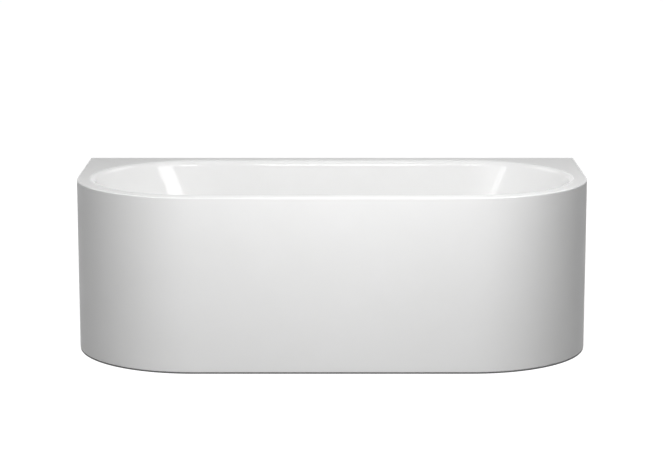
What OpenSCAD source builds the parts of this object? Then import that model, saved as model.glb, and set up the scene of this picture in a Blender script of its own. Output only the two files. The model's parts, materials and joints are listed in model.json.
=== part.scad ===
// Back-to-wall bath: a D-shaped enamelled bath with a fitted skirt, on an adjustable frame.
// X runs along the wall, +Y points at the wall, Z is up. The origin is on the floor, mid-plan.

/* [Overall] */
// Length of the bath along the wall
bath_l = 1700; // [1600:10:1900]
// Depth of the bath from the wall to its front
bath_w = 800; // [760:10:860]
// Height of the rim above the floor
bath_h = 575; // [570:5:620]

/* [Rim] */
// Width of the deck where it is narrowest
rim_w = 43; // [36:1:56]
// Radius of the rim's outer edge
edge_r = 5; // [4:0.5:10]
// Radius of the roll from the deck into the basin
roll_r = 22; // [12:1:30]
// Height of the flange turned down behind the skirt
flange_h = 25; // [16:1:34]
// Thickness of the basin's enamelled sheet
shell_t = 3.5; // [2.5:0.5:4.5]

/* [Basin] */
// Height of the basin's floor above the ground, at the floor's ends
floor_gap = 105; // [100:1:130]
// Lean of the backrests from upright, in degrees
end_lean = 24.5; // [18:0.5:28]
// Lean of the long walls from upright, in degrees
side_lean = 6.5; // [4:0.5:9]
// Radius between a backrest and the floor
end_fillet = 160; // [110:5:200]
// Radius between a long wall and the floor
side_fillet = 110; // [70:5:130]
// Fall of the floor from its ends to the drain
floor_fall = 6; // [3:0.5:8]

/* [Skirt] */
// Thickness of the skirt's enamelled sheet
skirt_t = 2; // [1.5:0.25:3]
// Width of the hem turned in at the skirt's foot
hem_w = 18; // [12:1:24]
// Width of the flanges turned in at the wall
return_w = 25; // [16:1:36]
// Height of the dark seal between the skirt and the floor
seal_h = 4; // [3:0.5:6]
// Set-back of the seal from the skirt's face
seal_inset = 1; // [0.5:0.5:3]
// Thickness of a sound mat
mat_t = 3; // [2:0.5:4]

/* [Frame and feet] */
// Distance of each crossbar from the middle of the bath
bar_x = 300; // [250:5:340]
// Gap between a crossbar's end and the bath's edge
bar_gap = 110; // [95:5:120]
// Width of a crossbar
bar_w = 40; // [36:1:46]
// Height of a crossbar's channel
bar_h = 25; // [20:1:27]
// Thickness of a crossbar's sheet
bar_t = 2.5; // [2:0.25:3]
// Thickness of the pads between the crossbars and the basin
pad_t = 5; // [3:0.5:6]
// Distance of the feet from the ends of their crossbars
foot_inset = 40; // [35:1:55]
// Radius of a foot's threaded stem
stem_r = 5; // [4:0.5:6]
// Radius of a foot's plate
foot_r = 24; // [18:1:30]
// Thickness of the rubber pad under a foot
foot_pad_t = 4; // [3:0.5:6]
// Travel of a foot when it is screwed down
foot_travel = 20; // [12:1:22]
// Distance of the skirt's end stays behind the bath's centreline
stay_y = 40; // [30:5:80]
// Width of the skirt's stays and brackets
stay_w = 30; // [24:1:34]
// Thickness of the stays and brackets
stay_t = 3; // [2:0.5:4]
// Radius of the frame's screws
screw_r = 3; // [2.5:0.5:3.5]

/* [Wall fixing] */
// Distance of each wall bracket from the bath's end
bracket_inset = 250; // [190:10:350]
// Width of a wall bracket
bracket_w = 60; // [40:2:80]
// Height of a wall bracket's plate
bracket_h = 70; // [60:2:90]
// Radius of the holes in a wall bracket
bracket_hole_r = 4.5; // [3.5:0.5:5.5]
// Distance between a wall bracket's two holes
bracket_pitch = 30; // [26:1:40]

/* [Waste] */
// Radius of the drain hole
drain_r = 26; // [25:0.5:28]
// Radius of the flat recess round the drain
recess_r = 42; // [40:1:48]
// Depth of the recess
recess_d = 3; // [2:0.5:4]
// Radius of the bright flange in the drain
flange_r = 36; // [33:0.5:38]
// Radius of the waste cover
plug_r = 31; // [28:0.5:32]
// Lift of the waste cover when it is open
plug_lift = 12; // [8:1:13]
// Height of the waste's body under the basin
body_h = 58; // [54:1:60]
// Distance from the drain to the trap
trap_y = 130; // [122:1:150]
// Radius of the trap
trap_r = 42; // [36:1:46]
// Height of the trap's bottle
trap_h = 76; // [72:1:78]
// Radius of the outlet pipe's free end
outlet_r = 20; // [18:0.5:20.5]
// Length of the outlet pipe's free end
outlet_l = 95; // [50:5:110]

/* [Overflow] */
// Depth of the overflow's centre under the rim
overflow_d = 95; // [85:5:120]
// Radius of the overflow hole
overflow_r = 28; // [26:0.5:30]
// Radius of the rotary knob
knob_r = 36; // [32:1:40]
// Turn of the knob that opens the waste, in degrees
knob_turn = 90; // [70:5:110]
// Outer radius of the overflow hose at its ribs
hose_r = 16; // [14.5:0.5:17]
// Number of ribs on the overflow hose
hose_ribs = 80; // [50:5:120]
// Outer radius of the control cable
cable_r = 3; // [2.5:0.5:4]

/* [Hidden] */
$fn = 64;
slop = 0.05;       // running clearance of a shaft in its bore
lap_gap = 0.3;     // clearance between the rim's flange and what it stands beside
soft_gap = 0.3;    // clearance between a seal and a moving piece
bite = 1;          // how far a cutting solid runs past the face it cuts
glue_t = 0.02;     // glue line under a sound mat on the long walls

// Depth of the basin from the rim to the floor's ends
basin_d = bath_h - floor_gap;
bar_l = bath_w - 2 * bar_gap;
foot_y = bar_l / 2 - foot_inset;
bracket_x = bath_l / 2 - bracket_inset;

// Plan of the rim and of the basin's opening: both are long rounds about the same two centres
end_c = (bath_l - bath_w) / 2;
open_a = bath_l / 2 - rim_w;
open_b = bath_w / 2 - rim_w;

// Inset of the floor's edge from the opening, for a wall of this lean and fillet
function wall_drop(lean, fillet) = basin_d - (roll_r + fillet) * (1 - sin(lean));
function wall_run(lean, fillet) = (roll_r + fillet) * cos(lean) + wall_drop(lean, fillet) * tan(lean);
floor_a = open_a - wall_run(end_lean, end_fillet);
floor_b = open_b - wall_run(side_lean, side_fillet);

// Half width of the opening at a depth on a long wall's straight part
function side_at(depth) =
    open_b - roll_r * cos(side_lean) - (depth - roll_r * (1 - sin(side_lean))) * tan(side_lean);

// Heights under the basin
function floor_z(x) = floor_gap - floor_fall * max(0, 1 - abs(x) / floor_a);
function under_z(x) = floor_z(x) - shell_t;
recess_z = floor_gap - floor_fall - recess_d;
bar_top = under_z(bar_x - bar_w / 2) - pad_t;
skirt_top = bath_h - edge_r;
flange_z = skirt_top - flange_h;
lap = skirt_t + lap_gap;

// Stations round the rim: which end's centre, and the direction from it
quarter = 16;
STATIONS = concat(
    [[0, -90]], [for (i = [-quarter:quarter]) [1, i * 90 / quarter]],
    [[0, 90]], [for (i = [quarter:3 * quarter]) [-1, i * 90 / quarter]]);

FEET = [["front_left", -1, -1], ["front_right", 1, -1], ["rear_left", -1, 1], ["rear_right", 1, 1]];

// Upright ring, from z = 0 up
module ring(outer, inner, h) {
    rotate_extrude() translate([inner, 0]) square([outer - inner, h]);
}

// Triangles between stacked rings of points, closed by a flat cap at each end
module loft(rings) {
    n = len(rings[0]);
    m = len(rings);
    sides = [for (i = [0:m - 2], j = [0:n - 1]) let (k = (j + 1) % n)
        each [[i * n + j, (i + 1) * n + k, i * n + k], [i * n + j, (i + 1) * n + j, (i + 1) * n + k]]];
    caps = [[for (j = [0:n - 1]) j], [for (j = [n - 1:-1:0]) (m - 1) * n + j]];
    polyhedron(points = [for (r = rings) each r], faces = concat(sides, caps));
}

// Basin wall sections: each point is the inset from the opening and the height from the rim.
// off moves the section out through the sheet, from its inner face
function roll_pt(a, off) = [(roll_r - off) * sin(a), (roll_r - off) * cos(a) - roll_r];
function fillet_pt(lean, fillet, a, off) =
    [wall_run(lean, fillet) - (fillet + off) * sin(a), fillet - basin_d - (fillet + off) * cos(a)];

// One ring round the bath. The ends and the long sides have their own heights, the floor falls
// by share of its full fall, and a squared ring has the two square corners at the wall
function rim_ring(a, b, end_z, side_z, share = 0, squared = false) = [for (s = STATIONS)
    let (
        k = squared && sin(s[1]) > 0 ? 1 / max(abs(cos(s[1])), sin(s[1])) : 1,
        x = s[0] * (a - b) + b * cos(s[1]) * k,
        y = b * sin(s[1]) * k,
        z = end_z * pow(cos(s[1]), 2) + side_z * pow(sin(s[1]), 2))
    [x, y, bath_h + z - share * floor_fall * max(0, 1 - abs(x) / floor_a)]];
function dee_ring(inset, z) = rim_ring(bath_l / 2 - inset, bath_w / 2 - inset, z, z, 0, true);
function section_ring(end_pt, side_pt, share = 0) =
    rim_ring(open_a - end_pt[0], open_b - side_pt[0], end_pt[1], side_pt[1], share);

roll_steps = 5;
fillet_steps = 9;
function roll_rings(off) = [for (i = [0:roll_steps]) let (u = i / roll_steps)
    section_ring(roll_pt(u * (90 - end_lean), off), roll_pt(u * (90 - side_lean), off))];
function fillet_rings(off) = [for (i = [0:fillet_steps]) let (u = 1 - i / fillet_steps)
    section_ring(fillet_pt(end_lean, end_fillet, u * (90 - end_lean), off),
        fillet_pt(side_lean, side_fillet, u * (90 - side_lean), off), pow(cos(u * 90), 2))];
recess_slope = 4;
function recess_rings(off) = [
    rim_ring(recess_r + recess_slope, recess_r + recess_slope, -basin_d - off, -basin_d - off, 1),
    rim_ring(recess_r, recess_r, recess_z - bath_h - off, recess_z - bath_h - off)];
function basin_rings(off) = concat(roll_rings(off), fillet_rings(off), recess_rings(off));
function reversed(list) = [for (i = [len(list) - 1:-1:0]) list[i]];

edge_steps = 5;
function edge_rings() = [for (i = [0:edge_steps]) let (a = i * 90 / edge_steps)
    dee_ring(edge_r * (1 - cos(a)), edge_r * (sin(a) - 1))];

// The rim, its turned down flange and the basin, pressed from one sheet
module tub_shell() {
    flange_in = lap + shell_t;
    color("white") difference() {
        loft(concat(
            reversed(basin_rings(shell_t)),
            [dee_ring(max(edge_r, flange_in + bite), -shell_t),
             dee_ring(flange_in, -max(edge_r, shell_t + bite)),
             dee_ring(flange_in, flange_z - bath_h),
             dee_ring(lap, flange_z - bath_h),
             dee_ring(lap, -edge_r)],
            edge_rings(),
            basin_rings(0)));
        translate([0, 0, recess_z - shell_t - bite]) cylinder(h = shell_t + 2 * bite, r = drain_r);
        at_overflow() translate([0, 0, -shell_t - bite]) cylinder(h = shell_t + 2 * bite, r = overflow_r);
    }
}

// Sweeps a section round the skirt's line: sides, front corners and front. Each point of the
// section is the inset from the bath's outline and the height above the floor
module dee_sweep(section) {
    front = [for (p = section) [p[0] - bath_w / 2, p[1]]];
    arc = [for (p = section) [bath_w / 2 - p[0], p[1]]];
    side = [for (p = section) [bath_l / 2 - p[0], p[1]]];
    translate([-end_c, 0, 0]) rotate([90, 0, 90]) linear_extrude(2 * end_c) polygon(front);
    translate([end_c, 0, 0]) rotate([0, 0, -90]) rotate_extrude(angle = 90) polygon(arc);
    translate([-end_c, 0, 0]) rotate([0, 0, 180]) rotate_extrude(angle = 90) polygon(arc);
    for (m = [0, 1]) mirror([m, 0, 0])
        translate([0, bath_w / 2, 0]) rotate([90, 0, 0]) linear_extrude(bath_w / 2) polygon(side);
}

// The skirt wraps the front and both ends, with studs inside for its stays and brackets
stud_l = 14;
module skirt_panel() {
    color("white") {
        dee_sweep([[0, seal_h], [hem_w, seal_h], [hem_w, seal_h + skirt_t],
            [skirt_t, seal_h + skirt_t], [skirt_t, skirt_top], [0, skirt_top]]);
        for (m = [0, 1]) mirror([m, 0, 0]) {
            translate([bath_l / 2 - return_w, bath_w / 2 - skirt_t, seal_h])
                cube([return_w, skirt_t, skirt_top - seal_h]);
            translate([bath_l / 2 - skirt_t, stay_y, stud_z]) rotate([0, -90, 0])
                cylinder(h = stud_l, r = screw_r);
            translate([bar_x, skirt_t - bath_w / 2, stud_z]) rotate([-90, 0, 0])
                cylinder(h = stud_l, r = screw_r);
        }
    }
}

module floor_seal() {
    groove = seal_h / 4;
    color("#2b2b2d") dee_sweep([[seal_inset, 0], [hem_w / 2 - groove, 0], [hem_w / 2, groove],
        [hem_w / 2 + groove, 0], [hem_w, 0], [hem_w, seal_h], [seal_inset, seal_h]]);
}

module wall_seal_strip() {
    strip_l = bath_l - 2 * return_w - 2 * lap_gap;
    color("#d8d8d6") translate([-strip_l / 2, bath_w / 2 - lap, flange_z])
        cube([strip_l, lap, flange_h]);
}

// Mats under the floor follow its fall
mat_gap = 15;
module floor_mat(x0, x1, width) {
    section = [[x0, under_z(x0)], [x1, under_z(x1)], [x1, under_z(x1) - mat_t], [x0, under_z(x0) - mat_t]];
    translate([0, width / 2, 0]) rotate([90, 0, 0]) linear_extrude(width) polygon(section);
}
module sound_mats_floor() {
    bar_in = bar_x - bar_w / 2 - mat_gap;
    bar_out = bar_x + bar_w / 2 + mat_gap;
    color("#33353a") for (m = [0, 1]) mirror([m, 0, 0]) {
        floor_mat(recess_r + 2 * mat_gap, bar_in, 1.4 * floor_b);
        floor_mat(bar_out, floor_a - 2 * mat_gap, 0.8 * floor_b);
    }
}
mat_top = overflow_d + 75;
module sound_mats_wall() {
    mat_l = 0.9 * 2 * (floor_a - floor_b);
    mat_h = basin_d - side_fillet - mat_top;
    color("#33353a") for (m = [0, 1]) mirror([0, m, 0])
        translate([0, side_at(mat_top), bath_h - mat_top]) rotate([-90 - side_lean, 0, 0])
            translate([-mat_l / 2, 0, shell_t + glue_t]) cube([mat_l, mat_h, mat_t]);
}

// A crossbar is a channel, open downwards, with holes for its feet, bracket and stay. The
// right one has a hole for the earth lug too
lap_l = 25;
module crossbar(side) {
    channel = [[-bar_w / 2, 0], [-bar_w / 2, -bar_h], [bar_t - bar_w / 2, -bar_h],
        [bar_t - bar_w / 2, -bar_t], [bar_w / 2 - bar_t, -bar_t], [bar_w / 2 - bar_t, -bar_h],
        [bar_w / 2, -bar_h], [bar_w / 2, 0]];
    color("#aab0b5") difference() {
        translate([side * bar_x, bar_l / 2, bar_top]) rotate([90, 0, 0])
            linear_extrude(bar_l) polygon(channel);
        for (y = [-1, 1]) translate([side * bar_x, y * foot_y, bar_top - bar_t - bite])
            cylinder(h = bar_t + 2 * bite, r = stem_r + slop);
        for (y = side > 0 ? [-1, 1] : [-1])
            translate([side * bar_x, y * (bar_l - lap_l) / 2, bar_top - bar_t - bite])
                cylinder(h = bar_t + 2 * bite, r = screw_r + slop);
        translate([side * (bar_x + bar_w / 2), stay_y, stud_z]) rotate([0, 90, 0])
            cylinder(h = 2 * (bar_t + bite), r = screw_r + slop, center = true);
    }
}

// Rubber pads glued between the crossbars and the basin's floor
module support_pads() {
    x0 = bar_x - bar_w / 2;
    x1 = bar_x + bar_w / 2;
    pad_l = 0.5 * floor_b;
    section = [[x0, bar_top], [x1, bar_top], [x1, under_z(x1)], [x0, under_z(x0)]];
    color("#3a3b3d") for (m = [0, 1], y = [-1, 1]) mirror([m, 0, 0])
        translate([0, y * 0.55 * floor_b + pad_l / 2, 0]) rotate([90, 0, 0])
            linear_extrude(pad_l) polygon(section);
}

// Screw jacks: a nut welded in the channel, a lock nut under it, a stem and a swivelling plate
nut_h = 1.5 * stem_r;
nut_r = 1.9 * stem_r;
plate_h = 10;
socket_d = 6;
module hex_nut(across, bore, h) {
    difference() {
        cylinder(h = h, r = across, $fn = 6);
        translate([0, 0, -bite]) cylinder(h = h + 2 * bite, r = bore);
    }
}
module at_feet() {
    for (f = FEET) translate([f[1] * bar_x, f[2] * foot_y, 0]) children();
}
module foot_weld_nuts() {
    color("#c9ccce") at_feet() translate([0, 0, bar_top - bar_t - nut_h])
        hex_nut(nut_r, stem_r + slop, nut_h);
}
module foot_lock_nuts() {
    color("#c9ccce") at_feet() translate([0, 0, bar_top - bar_t - 1.75 * nut_h])
        hex_nut(nut_r, stem_r + slop, 0.75 * nut_h);
}
module foot_stem(f) {
    socket_z = foot_pad_t + plate_h - socket_d;
    stem_top = bar_top + foot_travel / 2 + 5;
    color("#c9ccce") translate([f[1] * bar_x, f[2] * foot_y, 0]) {
        translate([0, 0, socket_z + soft_gap]) cylinder(h = stem_top - socket_z - soft_gap, r = stem_r);
        translate([0, 0, foot_pad_t + plate_h + soft_gap]) cylinder(h = nut_h, r = nut_r, $fn = 6);
    }
}
module foot_plate(f) {
    neck = stem_r + 4;
    color("#4a4c50") translate([f[1] * bar_x, f[2] * foot_y, foot_pad_t]) rotate_extrude()
        polygon([[0, 0], [foot_r, 0], [foot_r, 3], [neck + 2, plate_h - 2], [neck, plate_h],
            [stem_r + slop, plate_h], [stem_r + slop, plate_h - socket_d], [0, plate_h - socket_d]]);
}
module foot_pad(f) {
    color("#222224") translate([f[1] * bar_x, f[2] * foot_y, 0]) rotate_extrude()
        polygon([[0, 0], [foot_r + 1, 0], [foot_r + 2, 1], [foot_r + 2, foot_pad_t], [0, foot_pad_t]]);
}

// Stays and brackets tie the skirt's foot to the frame. Both are flat bar, turned down at the
// far end, and a stay is turned down at both ends
stay_z = bar_top - bar_t - stay_t;
stud_z = stay_z - 10;
tab_h = 20;
module flat_bar(length, tabs) {
    bar = [[0, stay_t], [length, stay_t], [length, -tab_h], [length - stay_t, -tab_h], [length - stay_t, 0]];
    root = tabs == 2 ? [[stay_t, 0], [stay_t, -tab_h], [0, -tab_h]] : [[0, 0]];
    translate([0, stay_w / 2, 0]) rotate([90, 0, 0]) linear_extrude(stay_w) polygon(concat(bar, root));
}
module skirt_stay(side) {
    x0 = bar_x + bar_w / 2;
    length = bath_l / 2 - skirt_t - x0;
    color("#aab0b5") mirror([side < 0 ? 1 : 0, 0, 0]) difference() {
        translate([x0, stay_y, stay_z]) flat_bar(length, 2);
        for (x = [x0 + stay_t / 2, x0 + length - stay_t / 2]) translate([x, stay_y, stud_z])
            rotate([0, 90, 0]) cylinder(h = stay_t + 2 * bite, r = screw_r + slop, center = true);
    }
}
module skirt_brackets_front() {
    length = bath_w / 2 - skirt_t - bar_l / 2 + lap_l;
    color("#aab0b5") for (m = [0, 1]) mirror([m, 0, 0])
        translate([bar_x, lap_l - bar_l / 2, stay_z]) rotate([0, 0, -90]) difference() {
            flat_bar(length, 1);
            translate([lap_l / 2, 0, -bite]) cylinder(h = stay_t + 2 * bite, r = screw_r + slop);
            translate([length - stay_t / 2, 0, -10]) rotate([0, 90, 0])
                cylinder(h = stay_t + 2 * bite, r = screw_r + slop, center = true);
        }
}

// Screws have a round head on one side and a nut on the other
module screw(grip) {
    head_h = 0.6 * screw_r;
    translate([0, 0, -grip]) cylinder(h = grip, r = screw_r);
    cylinder(h = head_h, r = 1.8 * screw_r);
    translate([0, 0, -grip - screw_r]) cylinder(h = screw_r, r = 1.8 * screw_r, $fn = 6);
}
module frame_screws() {
    color("#c9ccce") {
        for (m = [0, 1]) mirror([m, 0, 0]) {
            translate([bar_x, (lap_l - bar_l) / 2, bar_top]) screw(bar_t + stay_t);
            translate([bar_x + bar_w / 2 + stay_t, stay_y, stud_z]) rotate([0, 90, 0]) screw(bar_t + stay_t);
        }
        translate([bar_x, (bar_l - lap_l) / 2, bar_top]) screw(bar_t + lug_t);
    }
}
module skirt_nuts() {
    color("#c9ccce") for (m = [0, 1]) mirror([m, 0, 0]) {
        translate([bath_l / 2 - skirt_t - stay_t, stay_y, stud_z]) rotate([0, -90, 0])
            hex_nut(1.8 * screw_r, screw_r + slop, screw_r * 1.6);
        translate([bar_x, skirt_t + stay_t - bath_w / 2, stud_z]) rotate([-90, 0, 0])
            hex_nut(1.8 * screw_r, screw_r + slop, screw_r * 1.6);
    }
}

// A wall bracket hooks up behind the rim's rear flange
bracket_t = 3;
hook_h = 14;
module wall_bracket(side) {
    shelf = flange_z - lap_gap;
    hook_u = lap + shell_t + lap_gap;
    section = [[0, shelf - bracket_h], [bracket_t, shelf - bracket_h], [bracket_t, shelf - bracket_t],
        [hook_u + bracket_t, shelf - bracket_t], [hook_u + bracket_t, shelf + hook_h],
        [hook_u, shelf + hook_h], [hook_u, shelf], [0, shelf]];
    color("#aab0b5") difference() {
        translate([side * bracket_x + bracket_w / 2, bath_w / 2, 0]) rotate([90, 0, -90])
            linear_extrude(bracket_w) polygon(section);
        for (k = [-1, 1])
            translate([side * bracket_x, bath_w / 2 - bracket_t - bite, bracket_z + k * bracket_pitch / 2])
                rotate([-90, 0, 0]) cylinder(h = bracket_t + 2 * bite, r = bracket_hole_r);
    }
}
bracket_z = flange_z - lap_gap - bracket_t - (bracket_h - bracket_t) / 2;

// A tab at the rear end of one crossbar takes the earth wire
lug_t = 3;
lug_w = 20;
lug_l = 22;
lug_hole_r = 3.3;
module earth_lug() {
    color("#b8923a") translate([bar_x, bar_l / 2, bar_top - bar_t - lug_t]) difference() {
        translate([-lug_w / 2, -lap_l + 2, 0]) cube([lug_w, lap_l - 2 + lug_l, lug_t]);
        translate([0, -lap_l / 2, -bite]) cylinder(h = lug_t + 2 * bite, r = screw_r + slop);
        translate([0, lug_l / 2, -bite]) cylinder(h = lug_t + 2 * bite, r = lug_hole_r);
    }
}

// The waste: heights are taken from the recess down
gasket_t = 1;
body_gasket_t = 4;
flange_t = 2.5;
neck_r = drain_r - 2;
throat_r = neck_r - 2.5;
neck_l = 26;
plug_stem_r = 4;
flange_base = recess_z + gasket_t;
flange_top = flange_base + flange_t;
body_top = recess_z - shell_t - body_gasket_t;
body_r = neck_r + 5;
chamber_r = neck_r + slop;
body_base = body_top - body_h;
body_flange_r = recess_r - 2;
cone_h = 6;
lip_r = plug_r - 4;
guide_h = 6;
function cone_r(z) = throat_r + (lip_r - throat_r) * min(1, (z - flange_top + cone_h) / cone_h);
module waste_flange() {
    color("#dfe2e4") difference() {
        union() {
            rotate_extrude() polygon([[throat_r, flange_top - neck_l], [neck_r, flange_top - neck_l],
                [neck_r, flange_base], [flange_r, flange_base], [flange_r, flange_base + 1],
                [flange_r - 1.5, flange_top], [lip_r, flange_top], [throat_r, flange_top - cone_h]]);
            translate([0, 0, flange_top - neck_l]) cylinder(h = guide_h, r = plug_stem_r + 3);
            for (a = [30:120:270]) rotate([0, 0, a]) translate([0, -1.5, flange_top - neck_l])
                cube([throat_r + 1, 3, guide_h - 1]);
        }
        translate([0, 0, flange_top - neck_l - bite])
            cylinder(h = guide_h + 2 * bite, r = plug_stem_r + slop);
    }
}
module waste_flange_gasket() {
    color("#222224") translate([0, 0, recess_z]) ring(flange_r - 0.5, drain_r - 1, gasket_t);
}
module waste_body_gasket() {
    color("#222224") translate([0, 0, body_top]) ring(body_flange_r, drain_r - 1, body_gasket_t);
}

// Waste body: a cup under the drain, with a port to the overflow, one to the trap, and a
// nozzle for the cable that works the cover
wall_t = 3;
floor_t = 3;
spigot_r = hose_r - 4;
spigot_l = 30;
port_z = body_top - 27;
outlet_z = body_top - 36;
inlet_r = outlet_r - 1.5;
trap_in = trap_y - trap_r;

// The lever that lifts the cover: one arm ends under the stem, the other hangs down and is
// pushed by the rod. It swings as far above level as it rests below
rocker_x = 14;
rocker_z = body_top - 37;
tip_l = rocker_x + 1.5;
tip_r = 3;
crank_l = 14.5;
arm_t = 3;
hub_r = 3.5;
hub_l = 13;
post_t = 4;
pin_r = 1.5;
rocker_swing = asin(plug_lift / 2 / tip_l);
rod_z = rocker_z - crank_l;
rod_travel = 2 * crank_l * tan(rocker_swing);
rod_l = 17;
nozzle_r = cable_r + 3;
nozzle_l = 16;
nozzle_x = body_r + nozzle_l;
module waste_body() {
    color("#e9e9e6") {
        waste_cup();
        for (y = [-1, 1]) translate([rocker_x, y * (hub_l / 2 + soft_gap + post_t / 2), 0]) difference() {
            translate([-hub_r, -post_t / 2, body_base + floor_t - bite])
                cube([2 * hub_r, post_t, rocker_z + hub_r - body_base - floor_t + bite]);
            translate([0, 0, rocker_z]) rotate([90, 0, 0])
                cylinder(h = post_t + 2 * bite, r = pin_r + slop, center = true);
        }
    }
}
module waste_cup() {
    difference() {
        union() {
            translate([0, 0, body_base]) cylinder(h = body_h, r = body_r);
            translate([0, 0, body_top - 4]) cylinder(h = 4, r = body_flange_r);
            translate([0, 0, port_z]) rotate([90, 0, 0]) cylinder(h = body_r + spigot_l, r = spigot_r);
            translate([0, 0, port_z]) rotate([90, 0, 0]) cylinder(h = body_r + 3, r = hose_r);
            translate([0, 0, outlet_z]) rotate([-90, 0, 0]) cylinder(h = trap_in - 2, r = inlet_r);
            translate([0, 0, rod_z]) rotate([0, 90, 0]) cylinder(h = nozzle_x, r = nozzle_r);
        }
        translate([0, 0, body_base + floor_t]) cylinder(h = body_h, r = chamber_r);
        translate([0, 0, port_z]) rotate([90, 0, 0])
            cylinder(h = body_r + spigot_l + bite, r = spigot_r - 2);
        translate([0, 0, outlet_z]) rotate([-90, 0, 0]) cylinder(h = trap_in, r = inlet_r - 2.5);
        translate([0, 0, rod_z]) rotate([0, 90, 0]) cylinder(h = nozzle_x + bite, r = pin_r + slop);
    }
}
module rocker_pin() {
    pin_l = hub_l + 2 * (soft_gap + post_t + 1);
    color("#c9ccce") translate([rocker_x, 0, rocker_z]) rotate([90, 0, 0])
        cylinder(h = pin_l, r = pin_r, center = true);
}
module lift_rocker() {
    crank_reach = crank_l / cos(rocker_swing) + arm_t / 2;
    arm_w = 6;
    color("#c9ccce") translate([rocker_x, 0, rocker_z]) rotate([90, 0, 0]) rotate([0, 0, rocker_swing])
        difference() {
        union() {
            cylinder(h = hub_l, r = hub_r, center = true);
            translate([-tip_l, 0, 0]) cylinder(h = arm_w, r = tip_r, center = true);
            translate([-tip_l, -arm_t / 2, -arm_w / 2]) cube([tip_l, arm_t, arm_w]);
            translate([-arm_t / 2, -crank_reach, -arm_w / 2]) cube([arm_t, crank_reach, arm_w]);
        }
        cylinder(h = hub_l + 2 * bite, r = pin_r + slop, center = true);
    }
}
module push_rod() {
    nose_x = rocker_x + crank_l * tan(rocker_swing) + (arm_t / 2 + pin_r + soft_gap) / cos(rocker_swing);
    nose = [for (a = [0:15:90]) pin_r * [sin(a), -cos(a)]];
    color("#c9ccce") translate([nose_x, 0, rod_z]) rotate([0, 90, 0])
        rotate_extrude() polygon(concat(nose, [[pin_r, rod_l], [0, rod_l]]));
}

// The cover, its seal and its stem rise together
cover_z = flange_top + soft_gap;
seal_ring_h = 2.4;
module waste_plug() {
    color("white") translate([0, 0, cover_z]) rotate_extrude()
        polygon([[0, 0], [plug_r - 0.6, 0], [plug_r, 0.6], [plug_r, 2.2], [plug_r - 0.8, 3],
            [plug_r * 0.6, 3.8], [0, 4.2]]);
}
module plug_seal() {
    base = cover_z - seal_ring_h;
    seat_gap = 1.4 * soft_gap;
    color("#222224") rotate_extrude() polygon([[plug_stem_r, base], [cone_r(base) - seat_gap, base],
        [lip_r - seat_gap, flange_top], [lip_r - seat_gap, cover_z], [plug_stem_r, cover_z]]);
}
module plug_stem() {
    stem_base = rocker_z - plug_lift / 2 + tip_r + soft_gap;
    nose = 1.5;
    color("#c9ccce") rotate_extrude() polygon([[0, stem_base], [plug_stem_r - nose, stem_base],
        [plug_stem_r, stem_base + nose], [plug_stem_r, cover_z], [0, cover_z]]);
}

// The overflow stands on the front wall of the basin. Its own z axis points into the basin and
// its own y axis points down the wall
overflow_b = side_at(overflow_d);
module at_overflow() {
    translate([0, -overflow_b, bath_h - overflow_d]) rotate([side_lean - 90, 0, 0]) children();
}
function overflow_to_bath(p) = [p[0], -overflow_b + p[1] * sin(side_lean) + p[2] * cos(side_lean),
    bath_h - overflow_d - p[1] * cos(side_lean) + p[2] * sin(side_lean)];
down_wall = [0, sin(side_lean), -cos(side_lean)];

plate_t = 2.5;
cup_r = overflow_r + 2;
cup_in_r = overflow_r - 1;
cup_flange_r = overflow_r + 10;
overflow_gasket_t = 5;
cup_z = -shell_t - overflow_gasket_t;
cup_d = 30;
spindle_r = 4;
screw_at = overflow_r - 6;
small_screw_r = 2.5;
hose_port_z = cup_z - cup_d / 2 - 2;
hose_start = cup_flange_r + 3;
drive_h = 14;
drive_r = 22;
drum_r = rod_travel / (knob_turn * PI / 180);
drive_nozzle = drive_r + 12;
module overflow_plate() {
    drain_at = (spindle_r + screw_at) / 2;
    color("#dfe2e4") at_overflow() difference() {
        cylinder(h = plate_t, r = overflow_r + 6);
        translate([0, 0, -bite]) cylinder(h = plate_t + 2 * bite, r = spindle_r + slop);
        for (k = [-1, 1]) translate([k * screw_at, 0, -bite])
            cylinder(h = plate_t + 2 * bite, r = small_screw_r + slop);
        for (a = [30:60:330]) rotate([0, 0, a]) translate([drain_at, 0, -bite])
            cylinder(h = plate_t + 2 * bite, r = 4);
        for (a = [36:36:324]) if (a != 180) rotate([0, 0, a]) translate([screw_at, 0, -bite])
            cylinder(h = plate_t + 2 * bite, r = 3.5);
    }
}
module overflow_screws() {
    reach = cup_d + overflow_gasket_t;
    color("#c9ccce") at_overflow() for (k = [-1, 1]) translate([k * screw_at, 0, 0]) {
        translate([0, 0, -reach]) cylinder(h = reach + plate_t, r = small_screw_r);
        translate([0, 0, plate_t]) cylinder(h = 2, r = 1.8 * small_screw_r);
    }
}
module overflow_gasket() {
    color("#222224") at_overflow() translate([0, 0, cup_z])
        ring(cup_flange_r, overflow_r + 0.5, overflow_gasket_t);
}
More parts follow.
